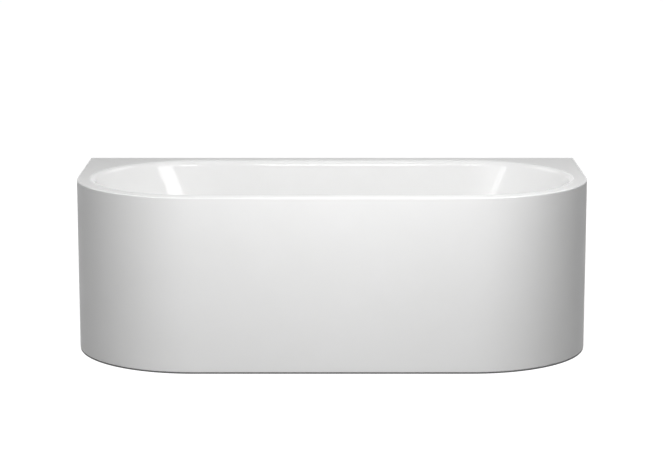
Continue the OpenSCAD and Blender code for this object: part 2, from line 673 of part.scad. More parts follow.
module overflow_body() {
    boss_h = cup_d - wall_t + 2;
    color("#e9e9e6") at_overflow() difference() {
        union() {
            difference() {
                union() {
                    translate([0, 0, cup_z - cup_d]) cylinder(h = cup_d, r = cup_r);
                    translate([0, 0, cup_z - 4]) cylinder(h = 4, r = cup_flange_r);
                    translate([0, 0, hose_port_z]) rotate([-90, 0, 0])
                        cylinder(h = hose_start + spigot_l, r = spigot_r);
                    translate([0, cup_r - 2, hose_port_z]) rotate([-90, 0, 0])
                        cylinder(h = hose_start - cup_r + 2, r = hose_r);
                }
                translate([0, 0, cup_z - cup_d + wall_t]) cylinder(h = cup_d, r = cup_in_r);
            }
            for (k = [-1, 1]) translate([k * screw_at, 0, cup_z - cup_d + wall_t - 1])
                cylinder(h = boss_h - 4, r = small_screw_r + 2);
            translate([0, 0, cup_z - cup_d + wall_t - 1]) cylinder(h = 9, r = spindle_r + 3);
        }
        for (k = [-1, 1]) translate([k * screw_at, 0, -cup_d - overflow_gasket_t])
            cylinder(h = cup_d, r = small_screw_r + slop);
        translate([0, cup_in_r - 5, hose_port_z]) rotate([-90, 0, 0])
            cylinder(h = hose_start + spigot_l, r = spigot_r - 2.5);
        translate([0, 0, cup_z - cup_d - bite]) cylinder(h = cup_d, r = spindle_r + slop);
    }
}
drive_base = cup_z - cup_d - drive_h;
drive_mid = drive_base + drive_h / 2;
drive_t = 2;
module overflow_spindle() {
    spindle_base = drive_base + drive_t + soft_gap;
    color("#c9ccce") at_overflow() translate([0, 0, spindle_base])
        cylinder(h = knob_z + 4 - spindle_base, r = spindle_r);
}
module cable_drum() {
    rim = drum_r + 4;
    color("#e9e9e6") at_overflow() translate([0, 0, drive_mid]) rotate_extrude()
        polygon([[spindle_r, -4], [rim, -4], [rim, -2.5], [drum_r, -1], [drum_r, 1], [rim, 2.5],
            [rim, 4], [spindle_r, 4]]);
}
module cable_drive_cover() {
    color("#e9e9e6") at_overflow() difference() {
        union() {
            translate([0, 0, drive_base]) cylinder(h = drive_h, r = drive_r);
            translate([0, drum_r, drive_mid]) rotate([0, 90, 0]) cylinder(h = drive_nozzle, r = cable_r + 2);
        }
        translate([0, 0, drive_base + drive_t]) cylinder(h = drive_h, r = drive_r - 2);
        translate([0, drum_r, drive_mid]) rotate([0, 90, 0])
            cylinder(h = drive_nozzle + bite, r = cable_r / 2);
    }
}

// The knob stands off the wall, so that water can run in behind it
knob_z = 9;
knob_t = 8;
module overflow_knob() {
    rim = 2;
    color("white") at_overflow() difference() {
        union() {
            translate([0, 0, knob_z]) rotate_extrude() polygon([[0, 0], [knob_r - 1, 0], [knob_r, 1],
                [knob_r, knob_t - 2.5], [knob_r - 0.8, knob_t - 0.8], [knob_r - rim, knob_t],
                [knob_r * 0.5, knob_t + 0.8], [0, knob_t + 1]]);
            translate([0, 0, plate_t + soft_gap]) cylinder(h = knob_z, r = spindle_r + 4);
        }
        translate([0, 0, -bite]) cylinder(h = knob_z + 4 + bite, r = spindle_r);
        for (k = [0, 1]) rotate([0, 0, 180 * k]) translate([knob_r + 5, 0, knob_z - bite])
            cylinder(h = knob_t + 4, r = 8);
    }
}

// A hose or cable is a smooth curve through its route's points, cut into rings at even steps
function curve_at(p, a, t) = let (last = len(p) - 1, b = min(a + 1, last),
    before = p[max(a - 1, 0)], after = p[min(a + 2, last)])
    0.5 * (2 * p[a] + t * (p[b] - before) + t * t * (2 * before - 5 * p[a] + 4 * p[b] - after)
    + t * t * t * (3 * p[a] - before - 3 * p[b] + after));
function smooth(p, steps) = concat([for (a = [0:len(p) - 2], s = [0:steps - 1]) curve_at(p, a, s / steps)],
    [p[len(p) - 1]]);
function unit(v) = v / norm(v);
function tangent(path, i) = unit(path[min(i + 1, len(path) - 1)] - path[max(i - 1, 0)]);
function carried(v, dir) = unit(v - (v * dir) * dir);
function frames(path, i = 0, last = [0.1, 0.2, 1]) = i >= len(path) ? [] :
    let (side = carried(last, tangent(path, i))) concat([side], frames(path, i + 1, side));
function lengths(path, i = 0, sum = 0) = i >= len(path) ? [] :
    let (here = sum + (i == 0 ? 0 : norm(path[i] - path[i - 1]))) concat([here], lengths(path, i + 1, here));
function point_at(path, run, s) =
    [for (k = [0:2]) lookup(s, [for (i = [0:len(path) - 1]) [run[i], path[i][k]]])];
function even(path, count) = let (run = lengths(path), total = run[len(run) - 1])
    [for (i = [0:count]) point_at(path, run, total * i / count)];
function circle_at(path, sides, i, r, n) = let (dir = tangent(path, i), u = sides[i], v = cross(dir, u))
    [for (j = [0:n - 1]) path[i] + r * (cos(360 * j / n) * u + sin(360 * j / n) * v)];

// Points outside the front wall, off from its inner face: a share of the way down its straight
// part from the overflow, or round its fillet to the floor
wall_foot = basin_d - side_fillet * (1 - sin(side_lean));
function on_wall(x, share, off) = let (depth = overflow_d + share * (wall_foot - overflow_d))
    [x, -side_at(depth) - off / cos(side_lean), bath_h - depth];
function on_fillet(x, share, off) =
    let (p = fillet_pt(side_lean, side_fillet, (1 - share) * (90 - side_lean), off))
    [x, p[0] - open_b, bath_h + p[1]];

// The overflow hose hangs down the outside of the front wall and runs in under the floor
hose_sides = 8;
hose_root_r = hose_r - 1.4;
hose_bore_r = (spigot_r + soft_gap) / cos(180 / hose_sides);
hose_seal_t = 2;
hose_from = overflow_to_bath([0, hose_start + hose_seal_t, hose_port_z]);
hose_to = [0, -body_r - 3 - hose_seal_t, port_z];
hose_off = -hose_port_z;
hose_points = concat(
    [for (s = [0.45:0.2:0.85]) on_wall(0, s, hose_off)],
    [for (s = [0:0.25:1]) on_fillet(0, s, hose_off + 8 * s)],
    [[0, -0.72 * floor_b, port_z + 3]]);
hose_route = concat([hose_from], smooth(concat([hose_from + spigot_l * down_wall], hose_points,
    [hose_to - [0, spigot_l, 0]]), 8), [hose_to]);
module overflow_hose() {
    path = even(hose_route, 2 * hose_ribs);
    sides = frames(path);
    last = len(path) - 1;
    cuff = 2 * round(hose_ribs * 0.06);
    outer = [for (i = [0:last]) i <= cuff || i >= last - cuff || i % 2 == 0 ? hose_r : hose_root_r];
    rings = [for (i = [0:last]) if (i == 0 || i == last || (i >= cuff && i <= last - cuff))
        circle_at(path, sides, i, outer[i], hose_sides)];
    bore = [for (i = [last:-8:0]) circle_at(path, sides, i, hose_bore_r, hose_sides)];
    color("#d5d6d4") loft_loop(concat(rings, bore));
}

// As loft, but the last ring joins the first, which leaves a bore
module loft_loop(rings) {
    n = len(rings[0]);
    m = len(rings);
    polyhedron(points = [for (r = rings) each r],
        faces = [for (i = [0:m - 1], j = [0:n - 1]) let (k = (j + 1) % n, h = (i + 1) % m)
            each [[i * n + j, h * n + k, i * n + k], [i * n + j, h * n + j, h * n + k]]]);
}

// The control cable leaves the overflow sideways, clears the hose and comes back to the waste
cable_sides = 8;
cable_from = overflow_to_bath([drive_nozzle, drum_r, drive_mid]);
cable_to = [nozzle_x, 0, rod_z];
cable_x = 4 * drive_nozzle;
cable_off = -drive_mid;
cable_near = 0.6 * cable_off;
cable_points = concat(
    [for (k = [[0.55, 12], [0.82, 36], [0.96, 78]]) overflow_to_bath([k[0] * cable_x, k[1], drive_mid])],
    [for (s = [0.4:0.2:0.8]) on_wall(cable_x, s, cable_off + (cable_near - cable_off) * s)],
    [for (k = [[0, 0], [0.3, 0], [0.55, 6], [0.8, 20], [1, 34]]) on_fillet(cable_x, k[0], cable_near + k[1])],
    [for (k = [[0.98, -0.6], [0.9, -0.32], [0.76, -0.12], [0.59, -0.02]])
        [k[0] * cable_x, k[1] * floor_b, rod_z - 1]]);
module control_cable() {
    path = concat([cable_from], smooth(concat([cable_from + [12, 0, 0]], cable_points,
        [cable_to + [14, 0, 0]]), 3), [cable_to]);
    sides = frames(path);
    color("#2b2b2d") loft([for (i = [0:len(path) - 1]) circle_at(path, sides, i, cable_r, cable_sides)]);
}

module hose_seals() {
    color("#222224") {
        at_overflow() translate([0, hose_start, hose_port_z]) rotate([-90, 0, 0])
            ring(hose_r, spigot_r + slop, hose_seal_t);
        translate([0, -body_r - 3, port_z]) rotate([90, 0, 0]) ring(hose_r, spigot_r + slop, hose_seal_t);
    }
}

// Union nuts hold the hose on its spigots and seal the trap's two sockets. The bore narrows to
// a lip at the far end where one is given
module grip_nut(inner, h, grips, lip = 0) {
    outer = inner + 4;
    lip_t = 3;
    difference() {
        union() {
            cylinder(h = h, r = outer);
            for (a = [0:360 / grips:359]) rotate([0, 0, a])
                translate([outer - 1, -1.5, 1]) cube([2.2, 3, h - 2]);
        }
        translate([0, 0, -bite]) cylinder(h = h - (lip > 0 ? lip_t : -bite) + bite, r = inner);
        if (lip > 0) translate([0, 0, -bite]) cylinder(h = h + 2 * bite, r = lip);
    }
}
hose_nut_h = 20;
module hose_nuts() {
    color("#3c3e42") {
        at_overflow() translate([0, hose_start, hose_port_z]) rotate([-90, 0, 0])
            grip_nut(hose_r + soft_gap, hose_nut_h, 10);
        translate([0, -body_r - 3, port_z]) rotate([90, 0, 0]) grip_nut(hose_r + soft_gap, hose_nut_h, 10);
    }
}

// The trap: a low bottle with a dividing wall, a screwed cap and a straight outlet to the wall
trap_top = body_top - 4;
trap_base = trap_top - trap_h;
cap_r = trap_r + 3;
cap_skirt = 7;
cap_t = 4;
cap_seal_t = 1.5;
socket_l = 20;
socket_r = inlet_r + wall_t + slop;
trap_out = trap_y + trap_r;
module trap_body() {
    reach = trap_r + socket_l;
    color("#e9e9e6") difference() {
        union() {
            translate([0, trap_y, trap_base]) cylinder(h = trap_top - trap_base, r = trap_r);
            translate([0, trap_y - reach, outlet_z]) rotate([-90, 0, 0])
                cylinder(h = 2 * reach, r = socket_r);
        }
        translate([0, trap_y, trap_base + floor_t]) cylinder(h = trap_top, r = trap_r - wall_t);
        translate([0, trap_y - reach - bite, outlet_z]) rotate([-90, 0, 0])
            cylinder(h = 2 * (reach + bite), r = inlet_r + slop);
    }
}
module trap_baffle() {
    gap_under = 10;
    base = trap_base + floor_t + gap_under;
    color("#d5d6d4") intersection() {
        translate([0, trap_y, base])
            cylinder(h = trap_top + cap_seal_t - base, r = trap_r - wall_t - soft_gap);
        translate([-trap_r, trap_y - 1, base]) cube([2 * trap_r, 2, trap_top - trap_base]);
    }
}
module trap_cap_seal() {
    color("#222224") translate([0, trap_y, trap_top]) ring(trap_r - 0.5, trap_r - wall_t, cap_seal_t);
}
module trap_cap() {
    under = cap_skirt + cap_seal_t;
    top = under + cap_t;
    grips = 20;
    color("#3c3e42") translate([0, trap_y, trap_top - cap_skirt]) {
        rotate_extrude() polygon([[trap_r + slop, 0], [cap_r, 0], [cap_r, top - 1.5], [cap_r - 1.5, top],
            [0, top], [0, under], [trap_r + slop, under]]);
        for (a = [0:360 / grips:359]) rotate([0, 0, a])
            translate([cap_r - 1, -1.5, 1]) cube([2, 3, under]);
    }
}
module at_sockets() {
    for (m = [0, 1]) translate([0, trap_y, outlet_z]) mirror([0, m, 0])
        translate([0, trap_r + socket_l, 0]) rotate([-90, 0, 0]) children();
}
trap_seal_t = 3;
trap_nut_h = 18;
trap_nut_cover = 12;
module trap_seals() {
    color("#222224") at_sockets() ring(socket_r - 0.5, inlet_r + slop, trap_seal_t);
}
module trap_nuts() {
    color("#3c3e42") at_sockets() translate([0, 0, -trap_nut_cover])
        grip_nut(socket_r + slop, trap_nut_h, 12, inlet_r + soft_gap);
}
outlet_from = trap_out + 4;
outlet_free = trap_out + socket_l + trap_nut_h - trap_nut_cover + 1;
module outlet_pipe() {
    bore = inlet_r - 2.5;
    color("#e9e9e6") translate([0, 0, outlet_z]) rotate([-90, 0, 0]) rotate_extrude()
        polygon([[bore, outlet_from], [inlet_r, outlet_from], [inlet_r, outlet_free], [outlet_r, outlet_free],
            [outlet_r, outlet_free + outlet_l], [bore, outlet_free + outlet_l]]);
}

tub_shell();
skirt_panel();
floor_seal();
wall_seal_strip();
sound_mats_floor();
sound_mats_wall();
crossbar(-1);  // crossbar_left
crossbar(1);  // crossbar_right
support_pads();
foot_weld_nuts();
foot_lock_nuts();
for (f = FEET) {
    foot_stem(f);
    foot_plate(f);
    foot_pad(f);
}
skirt_stay(-1);  // skirt_stay_left
skirt_stay(1);  // skirt_stay_right
skirt_brackets_front();
frame_screws();
skirt_nuts();
wall_bracket(-1);  // wall_bracket_left
wall_bracket(1);  // wall_bracket_right
earth_lug();
waste_flange();
waste_flange_gasket();
waste_body_gasket();
waste_body();
waste_plug();
plug_seal();
plug_stem();
lift_rocker();
rocker_pin();
push_rod();
overflow_knob();
overflow_spindle();
cable_drum();
overflow_plate();
overflow_screws();
overflow_gasket();
overflow_body();
cable_drive_cover();
control_cable();
overflow_hose();
hose_seals();
hose_nuts();
trap_body();
trap_baffle();
trap_cap();
trap_cap_seal();
trap_seals();
trap_nuts();
outlet_pipe();
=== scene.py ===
"""Looks of a back-to-wall bath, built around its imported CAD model. Metres, in the model's frame:
X runs along the wall, +Y points at the wall, Z is up, and the origin is on the floor, mid-plan."""

import functools
import json
import math

import bmesh
import bpy
import numpy as np
from mathutils import Matrix, Vector

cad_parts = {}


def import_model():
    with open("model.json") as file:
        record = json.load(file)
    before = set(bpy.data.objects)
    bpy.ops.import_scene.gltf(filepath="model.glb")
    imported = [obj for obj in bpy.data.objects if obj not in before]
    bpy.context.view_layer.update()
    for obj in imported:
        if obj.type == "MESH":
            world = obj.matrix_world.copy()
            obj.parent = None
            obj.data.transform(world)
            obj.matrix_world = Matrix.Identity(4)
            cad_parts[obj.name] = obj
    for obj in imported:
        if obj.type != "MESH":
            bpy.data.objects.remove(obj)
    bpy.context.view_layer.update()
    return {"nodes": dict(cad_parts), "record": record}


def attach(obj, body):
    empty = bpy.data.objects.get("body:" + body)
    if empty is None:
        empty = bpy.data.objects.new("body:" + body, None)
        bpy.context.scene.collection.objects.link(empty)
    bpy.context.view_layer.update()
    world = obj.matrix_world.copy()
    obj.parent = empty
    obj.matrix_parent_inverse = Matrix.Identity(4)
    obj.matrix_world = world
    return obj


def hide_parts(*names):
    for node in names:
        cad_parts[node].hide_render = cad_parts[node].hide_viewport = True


MM = 0.001

# All sizes are in metres, as in the CAD source, which leaves the threads out

# Rim, basin and skirt
BATH_L = 1700 * MM
BATH_W = 800 * MM
BATH_H = 575 * MM
RIM_W = 43 * MM
EDGE_R = 5 * MM
ROLL_R = 22 * MM
FLANGE_H = 25 * MM
SHELL_T = 3.5 * MM
FLOOR_GAP = 105 * MM
END_LEAN = math.radians(24.5)
SIDE_LEAN = math.radians(6.5)
END_FILLET = 160 * MM
SIDE_FILLET = 110 * MM
FLOOR_FALL = 6 * MM
SKIRT_T = 2 * MM
HEM_W = 18 * MM
RETURN_W = 25 * MM
SEAL_H = 4 * MM
SOFT_GAP = 0.3 * MM
LAP = SKIRT_T + SOFT_GAP
BASIN_D = BATH_H - FLOOR_GAP
SKIRT_TOP = BATH_H - EDGE_R
FLANGE_Z = SKIRT_TOP - FLANGE_H
OPEN_A = BATH_L / 2 - RIM_W
OPEN_B = BATH_W / 2 - RIM_W
END_C = (BATH_L - BATH_W) / 2

# Frame, feet and studs
BAR_X = 300 * MM
BAR_W = 40 * MM
BAR_T = 2.5 * MM
PAD_T = 5 * MM
FOOT_Y = 250 * MM
FOOT_PAD_T = 4 * MM
FOOT_PLATE_H = 10 * MM
FOOT_TRAVEL = 20 * MM
SOCKET_D = 6 * MM
STEM_R = 5 * MM
STEM_PITCH = 1.5 * MM
STEM_GROOVE = 0.65 * MM
STEM_SPARE = 5 * MM
STAY_Y = 40 * MM
STAY_T = 3 * MM
SCREW_R = 3 * MM
SCREW_PITCH = 1 * MM
SCREW_GROOVE = 0.45 * MM
STUD_L = 14 * MM
STUD_DROP = 10 * MM

# Waste
DRAIN_R = 26 * MM
RECESS_R = 42 * MM
RECESS_D = 3 * MM
RECESS_SLOPE = 4 * MM
RECESS_Z = FLOOR_GAP - FLOOR_FALL - RECESS_D
PLUG_R = 31 * MM
FLANGE_R = 36 * MM
FLANGE_T = 2.5 * MM
GASKET_T = 1 * MM
FLANGE_TOP = RECESS_Z + GASKET_T + FLANGE_T
COVER_Z = FLANGE_TOP + SOFT_GAP
NECK_R = DRAIN_R - 2 * MM
NECK_L = 26 * MM
THROAT_R = NECK_R - 2.5 * MM
BODY_R = NECK_R + 5 * MM
PORT_Z = 61.5 * MM
ROD_Z = 37 * MM

# Overflow, hose and cable
OVERFLOW_D = 95 * MM
OVERFLOW_R = 28 * MM
KNOB_R = 36 * MM
KNOB_T = 8 * MM
KNOB_Z = 9 * MM
NOTCH_AT = KNOB_R + 5 * MM
NOTCH_R = 8 * MM
DRUM_R = 7.751 * MM
HOSE_R = 16 * MM
HOSE_ROOT_R = 14.6 * MM
HOSE_BORE_R = 12.4 * MM
HOSE_RIBS = 80
CABLE_R = 3 * MM

# How finely the shapes are divided
QUARTER_STEPS = 32
ROLL_STEPS = 10
FILLET_STEPS = 20
EDGE_STEPS = 8
ARC_STEPS = 6
RIB_STEPS = 8
ROUND_STEPS = 128

# Narrow strips beside the bends keep the shading of the flat faces flat
SUPPORT = 0.4 * MM
NEAR_END = 0.999

# Edges that turn by more than this many degrees look sharp, and points nearer than WELD are one
SHARP_DEG = 35
WELD = 0.0001 * MM

# A tube's first spoke lies near this direction, and its bore has a ring at every sixth point
TUBE_SIDE = (0.1, 0.2, 1)
BORE_STEP = 6


# Meshes

def new_piece(name, verts, faces, slot, body="tub", sharp_deg=SHARP_DEG, look=None, others=()):
    """A closed mesh piece with outward normals that rides on a body and takes a slot's finish, or
    another look of that finish. others are runs of its faces, each with a look of its own."""
    mesh = bpy.data.meshes.new(name)
    mesh.from_pydata([tuple(v) for v in verts], [], [tuple(f) for f in faces])
    for i, (other, first, end) in enumerate(others):
        for face in mesh.polygons[first:end]:
            face.material_index = i + 1
    face_up(mesh)
    shade(mesh, sharp_deg)
    piece = bpy.data.objects.new(name, mesh)
    bpy.context.scene.collection.objects.link(piece)
    for finish_name in [look or slot] + [other[0] for other in others]:
        piece.data.materials.append(FINISHES[finish_name]())
    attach(piece, body)
    return piece


def face_up(mesh):
    """Merges double points and turns every face outwards."""
    bm = bmesh.new()
    bm.from_mesh(mesh)
    bmesh.ops.remove_doubles(bm, verts=bm.verts, dist=WELD)
    bmesh.ops.recalc_face_normals(bm, faces=bm.faces)
    bm.to_mesh(mesh)
    bm.free()


def shade(mesh, sharp_deg=SHARP_DEG):
    mesh.shade_smooth()
    mesh.set_sharp_from_angle(angle=math.radians(sharp_deg))


def bridge(rings, closed=False):
    """Vertices and faces between stacked rings. A closed loft joins its last ring to its first,
    an open one is capped at both ends."""
    count = len(rings[0])
    verts = [v for ring in rings for v in ring]
    faces = []
    for i in range(len(rings) if closed else len(rings) - 1):
        here, above = i * count, (i + 1) % len(rings) * count
        for j in range(count):
            k = (j + 1) % count
            faces.append((here + j, here + k, above + k, above + j))
    if not closed:
        faces.append(tuple(range(count)))
        faces.append(tuple(reversed(range((len(rings) - 1) * count, len(rings) * count))))
    return verts, faces


def lathe(profile, steps):
    """Vertices and faces of a closed profile of (radius, height) turned about Z."""
    verts, faces, rows = [], [], []
    for radius, height in profile:
        if radius == 0:
            rows.append([len(verts)])
            verts.append((0, 0, height))
            continue
        rows.append(range(len(verts), len(verts) + steps))
        verts += [(radius * math.cos(a), radius * math.sin(a), height) for a in turn(steps)]
    for low, high in zip(rows, rows[1:] + rows[:1]):
        if len(low) == 1 and len(high) == 1:
            continue
        for j in range(steps):
            k = (j + 1) % steps
            corner = [low[j % len(low)], low[k % len(low)], high[k % len(high)], high[j % len(high)]]
            faces.append(tuple(dict.fromkeys(corner)))
    return verts, faces


def turn(steps):
    """The directions of a full turn in equal steps, in radians."""
    return [2 * math.pi * j / steps for j in range(steps)]


def joined(*parts):
    """Several (verts, faces) pairs as one."""
    verts, faces = [], []
    for part_verts, part_faces in parts:
        start = len(verts)
        verts += list(part_verts)
        faces += [tuple(i + start for i in f) for f in part_faces]
    return verts, faces


def moved(part, matrix):
    verts, faces = part
    return [tuple(matrix @ Vector(v)) for v in verts], faces


def shift(x, y, z):
    return Matrix.Translation((x, y, z))


def quarter_turn(axis, sign):
    return Matrix.Rotation(sign * math.pi / 2, 4, axis)


def way(direction):
    """The cosine and the sine of a direction in degrees."""
    return math.cos(math.radians(direction)), math.sin(math.radians(direction))


def arc(x, y, radius, start, end, steps=ARC_STEPS):
    """Points on an arc about (x, y), between two directions in degrees."""
    directions = [way(start + (end - start) * i / steps) for i in range(steps + 1)]
    return [(x + radius * c, y + radius * s) for c, s in directions]


def dome(radius, low, rise, steps):
    """Profile points of a low dome, from just inside its rim to its middle."""
    shares = [1 - i / steps for i in range(1, steps + 1)]
    return [(radius * share, low + rise * (1 - share ** 2)) for share in shares]


def thread(radius, groove, pitch, length, steps=32):
    """A screw thread along Z from 0 to length, whose ridge runs out at both ends. Each row is half
    a turn's rise above the last, so a row's last point meets the first of the row two above."""
    rows = 2 * math.ceil(length / pitch) + 4
    verts = []
    for i in range(rows):
        for j in range(steps):
            z = min(max((i / 2 + j / steps - 1) * pitch, 0), length)
            ridge = i % 2 == 0 and 0 < z < length
            r = radius if ridge else radius - groove
            a = 2 * math.pi * j / steps
            verts.append((r * math.cos(a), r * math.sin(a), z))
    faces = [tuple(range(steps)), tuple((rows - 1) * steps + j for j in range(steps))]
    for i in range(rows - 1):
        for j in range(steps):
            skip = 2 if j == steps - 1 else 0
            if i + 1 + skip < rows:
                k = (j + 1) % steps
                low, high = i * steps, (i + 1) * steps
                faces.append((low + j, low + skip * steps + k, high + skip * steps + k, high + j))
    return verts, faces


def hexagon(corner_r, low, high, chamfer, steps=72):
    """A hexagonal bar along Z whose corners are turned off at both ends."""
    flat_r = corner_r * math.cos(math.pi / 6)
    levels = [(low, 0), (low + chamfer / 2, 0.5), (low + chamfer, 1),
              (high - chamfer, 1), (high - chamfer / 2, 0.5), (high, 0)]
    rings = []
    for z, share in levels:
        limit = flat_r + share * (corner_r - flat_r)
        ring = []
        for a in turn(steps):
            to_flat = (a + math.pi / 6) % (math.pi / 3) - math.pi / 6
            r = min(flat_r / math.cos(to_flat), limit)
            ring.append((r * math.cos(a), r * math.sin(a), z))
        rings.append(ring)
    return bridge(rings)


def tube(path, outer, inner, steps):
    """A hollow tube along a path of points. outer gives its radius at each point."""
    points = [Vector(p) for p in path]
    last = len(points) - 1
    side = Vector(TUBE_SIDE)
    outside, inside = [], []
    for i, point in enumerate(points):
        ahead = (points[min(i + 1, last)] - points[max(i - 1, 0)]).normalized()
        side = (side - side.dot(ahead) * ahead).normalized()
        across = ahead.cross(side)
        spokes = [math.cos(a) * side + math.sin(a) * across for a in turn(steps)]
        outside.append([point + outer[i] * spoke for spoke in spokes])
        if i % BORE_STEP == 0 or i == last:
            inside.append([point + inner * spoke for spoke in spokes])
    return bridge(outside + inside[::-1], closed=True)


def bar(start, end, width, height, cut):
    """A flat bar between two points, on edge along Z, with its long edges cut off."""
    across = (end - start).normalized().cross(Vector((0, 0, 1)))
    half = width / 2
    outline = [(cut - half, 0), (half - cut, 0), (half, cut), (half, height - cut),
               (half - cut, height), (cut - half, height), (-half, height - cut), (-half, cut)]
    return bridge([[at + u * across + Vector((0, 0, v)) for u, v in outline] for at in (start, end)])


# Smooth routes of the hose and the cable

def curve_point(points, i, t):
    """A point a share t of the way from point i to the next, on a curve through all the points."""
    last = len(points) - 1
    here, after = points[i], points[min(i + 1, last)]
    before, beyond = points[max(i - 1, 0)], points[min(i + 2, last)]
    return 0.5 * (2 * here + t * (after - before) + t * t * (2 * before - 5 * here + 4 * after - beyond)
                  + t ** 3 * (3 * here - before - 3 * after + beyond))


def smooth(points, steps):
    """A smooth curve through points, in this many steps between each two."""
    points = [Vector(p) for p in points]
    curve = [curve_point(points, i, k / steps) for i in range(len(points) - 1) for k in range(steps)]
    return curve + [points[-1]]


def even(path, count):
    """The path's points at count equal steps."""
    run = [0]
    for a, b in zip(path, path[1:]):
        run.append(run[-1] + (b - a).length)
    at = np.linspace(0, run[-1], count + 1)
    columns = [np.interp(at, run, [p[k] for p in path]) for k in range(3)]
    return [Vector(p) for p in zip(*columns)]


# Plan lines of the bath

def stations():
    """Each station is a share of the way to an end's centre, less than 0 on the left, and the
    direction from there."""
    step = 90 / QUARTER_STEPS
    right = [(1, i * step) for i in range(-QUARTER_STEPS, QUARTER_STEPS + 1)]
    left = [(-1, i * step) for i in range(QUARTER_STEPS, 3 * QUARTER_STEPS + 1)]
    front = [(-NEAR_END, -90), (0, -90), (NEAR_END, -90)]
    back = [(NEAR_END, 90), (0, 90), (-NEAR_END, 90)]
    return front + right + back + left


STATIONS = stations()


def floor_fall(x):
    """How far the basin's floor has fallen at x, on its way from an end to the drain."""
    return FLOOR_FALL * max(0, 1 - abs(x) / FLOOR_A)


def rim_ring(a, b, end_z, side_z, share=0, squared=False):
    """A ring of half length a and half width b. It is end_z from the rim's height at the ends and
    side_z at the sides, less a share of the floor's fall. It may have square corners at the wall."""
    ring = []
    for side, direction in STATIONS:
        c, s = way(direction)
        k = 1 / max(abs(c), s) if squared and s > 0 else 1
        x = side * (a - b) + b * c * k
        z = BATH_H + end_z * c * c + side_z * s * s
        ring.append((x, b * s * k, z - share * floor_fall(x)))
    return ring


def wall_run(lean, fillet):
    """How far a wall of this lean and fillet runs in from the opening before the floor starts."""
    drop = BASIN_D - (ROLL_R + fillet) * (1 - math.sin(lean))
    return (ROLL_R + fillet) * math.cos(lean) + drop * math.tan(lean)


FLOOR_A = OPEN_A - wall_run(END_LEAN, END_FILLET)
FLOOR_B = OPEN_B - wall_run(SIDE_LEAN, SIDE_FILLET)


def dee_ring(inset, z):
    """A ring round the bath's D-shaped outline, inset from it, at a height from the rim."""
    return rim_ring(BATH_L / 2 - inset, BATH_W / 2 - inset, z, z, squared=True)


def oval_ring(end, side, share=0):
    """A ring round the basin. end and side are (inset from the opening, height from the rim)."""
    return rim_ring(OPEN_A - end[0], OPEN_B - side[0], end[1], side[1], share)


def round_ring(radius, z):
    return rim_ring(radius, radius, z - BATH_H, z - BATH_H)


# Points of the pressed sheet, as (inset from the opening, height from the rim)

def roll_point(angle, off):
    return (ROLL_R - off) * math.sin(angle), (ROLL_R - off) * math.cos(angle) - ROLL_R


def fillet_point(lean, fillet, angle, off):
    reach = fillet + off
    return wall_run(lean, fillet) - reach * math.sin(angle), fillet - BASIN_D - reach * math.cos(angle)


def basin_rings(off):
    """The basin's rings from the rim down to the recess, off from the sheet's inner face."""
    rings = []
    for i in range(ROLL_STEPS + 1):
        u = i / ROLL_STEPS
        rings.append(oval_ring(roll_point(u * (math.pi / 2 - END_LEAN), off),
                               roll_point(u * (math.pi / 2 - SIDE_LEAN), off)))
    for i in range(FILLET_STEPS + 1):
        u = 1 - i / FILLET_STEPS
        end = fillet_point(END_LEAN, END_FILLET, u * (math.pi / 2 - END_LEAN), off)
        side = fillet_point(SIDE_LEAN, SIDE_FILLET, u * (math.pi / 2 - SIDE_LEAN), off)
        rings.append(oval_ring(end, side, math.cos(u * math.pi / 2) ** 2))
    edge = RECESS_R + RECESS_SLOPE
    rings.append(rim_ring(edge, edge, -BASIN_D - off, -BASIN_D - off, 1))
    rings.append(round_ring(RECESS_R, RECESS_Z - off))
    return rings


def edge_rings():
    """The rounded outer edge, from the skirt's line up to the deck."""
    rings = []
    for i in range(EDGE_STEPS + 1):
        a = i * math.pi / 2 / EDGE_STEPS
        rings.append(dee_ring(EDGE_R * (1 - math.cos(a)), EDGE_R * (math.sin(a) - 1)))
    return rings


def dee_sweep(section, back):
    """A section of (inset, height) taken round the skirt's line, from y = back on the left side
    round the front to y = back on the right one."""
    quarter = [90 * i / QUARTER_STEPS for i in range(QUARTER_STEPS + 1)]
    rows = [(-1, 180, back), (-1, 180, SUPPORT)] + [(-1, 180 + d, 0) for d in quarter]
    rows += [(-NEAR_END, 270, 0), (NEAR_END, 270, 0)]
    rows += [(1, 270 + d, 0) for d in quarter] + [(1, 360, SUPPORT), (1, 360, back)]
    rings = []
    for side, direction, y in rows:
        c, s = way(direction)
        reach = [(BATH_W / 2 - u, z) for u, z in section]
        rings.append([(side * END_C + r * c, r * s + y, z) for r, z in reach])
    return bridge(rings)


def under_floor(x):
    """Height of the underside of the basin's floor."""
    return FLOOR_GAP - floor_fall(x) - SHELL_T


BAR_TOP = under_floor(BAR_X - BAR_W / 2) - PAD_T
STUD_Z = BAR_TOP - BAR_T - STAY_T - STUD_DROP


# The front wall and the overflow's own axes: +z into the basin, +y down the wall

def side_at(depth):
    """Half width of the opening at a depth on a long wall's straight part."""
    straight = depth - ROLL_R * (1 - math.sin(SIDE_LEAN))
    return OPEN_B - ROLL_R * math.cos(SIDE_LEAN) - straight * math.tan(SIDE_LEAN)


def overflow_matrix():
    place = shift(0, -side_at(OVERFLOW_D), BATH_H - OVERFLOW_D)
    return place @ Matrix.Rotation(SIDE_LEAN - math.pi / 2, 4, "X")


def from_overflow(x, y, z):
    return overflow_matrix() @ Vector((x, y, z))


def on_wall(x, share, off):
    """A point outside the front wall's straight part, a share of the way down from the overflow."""
    foot = BASIN_D - SIDE_FILLET * (1 - math.sin(SIDE_LEAN))
    depth = OVERFLOW_D + share * (foot - OVERFLOW_D)
    return Vector((x, -side_at(depth) - off / math.cos(SIDE_LEAN), BATH_H - depth))


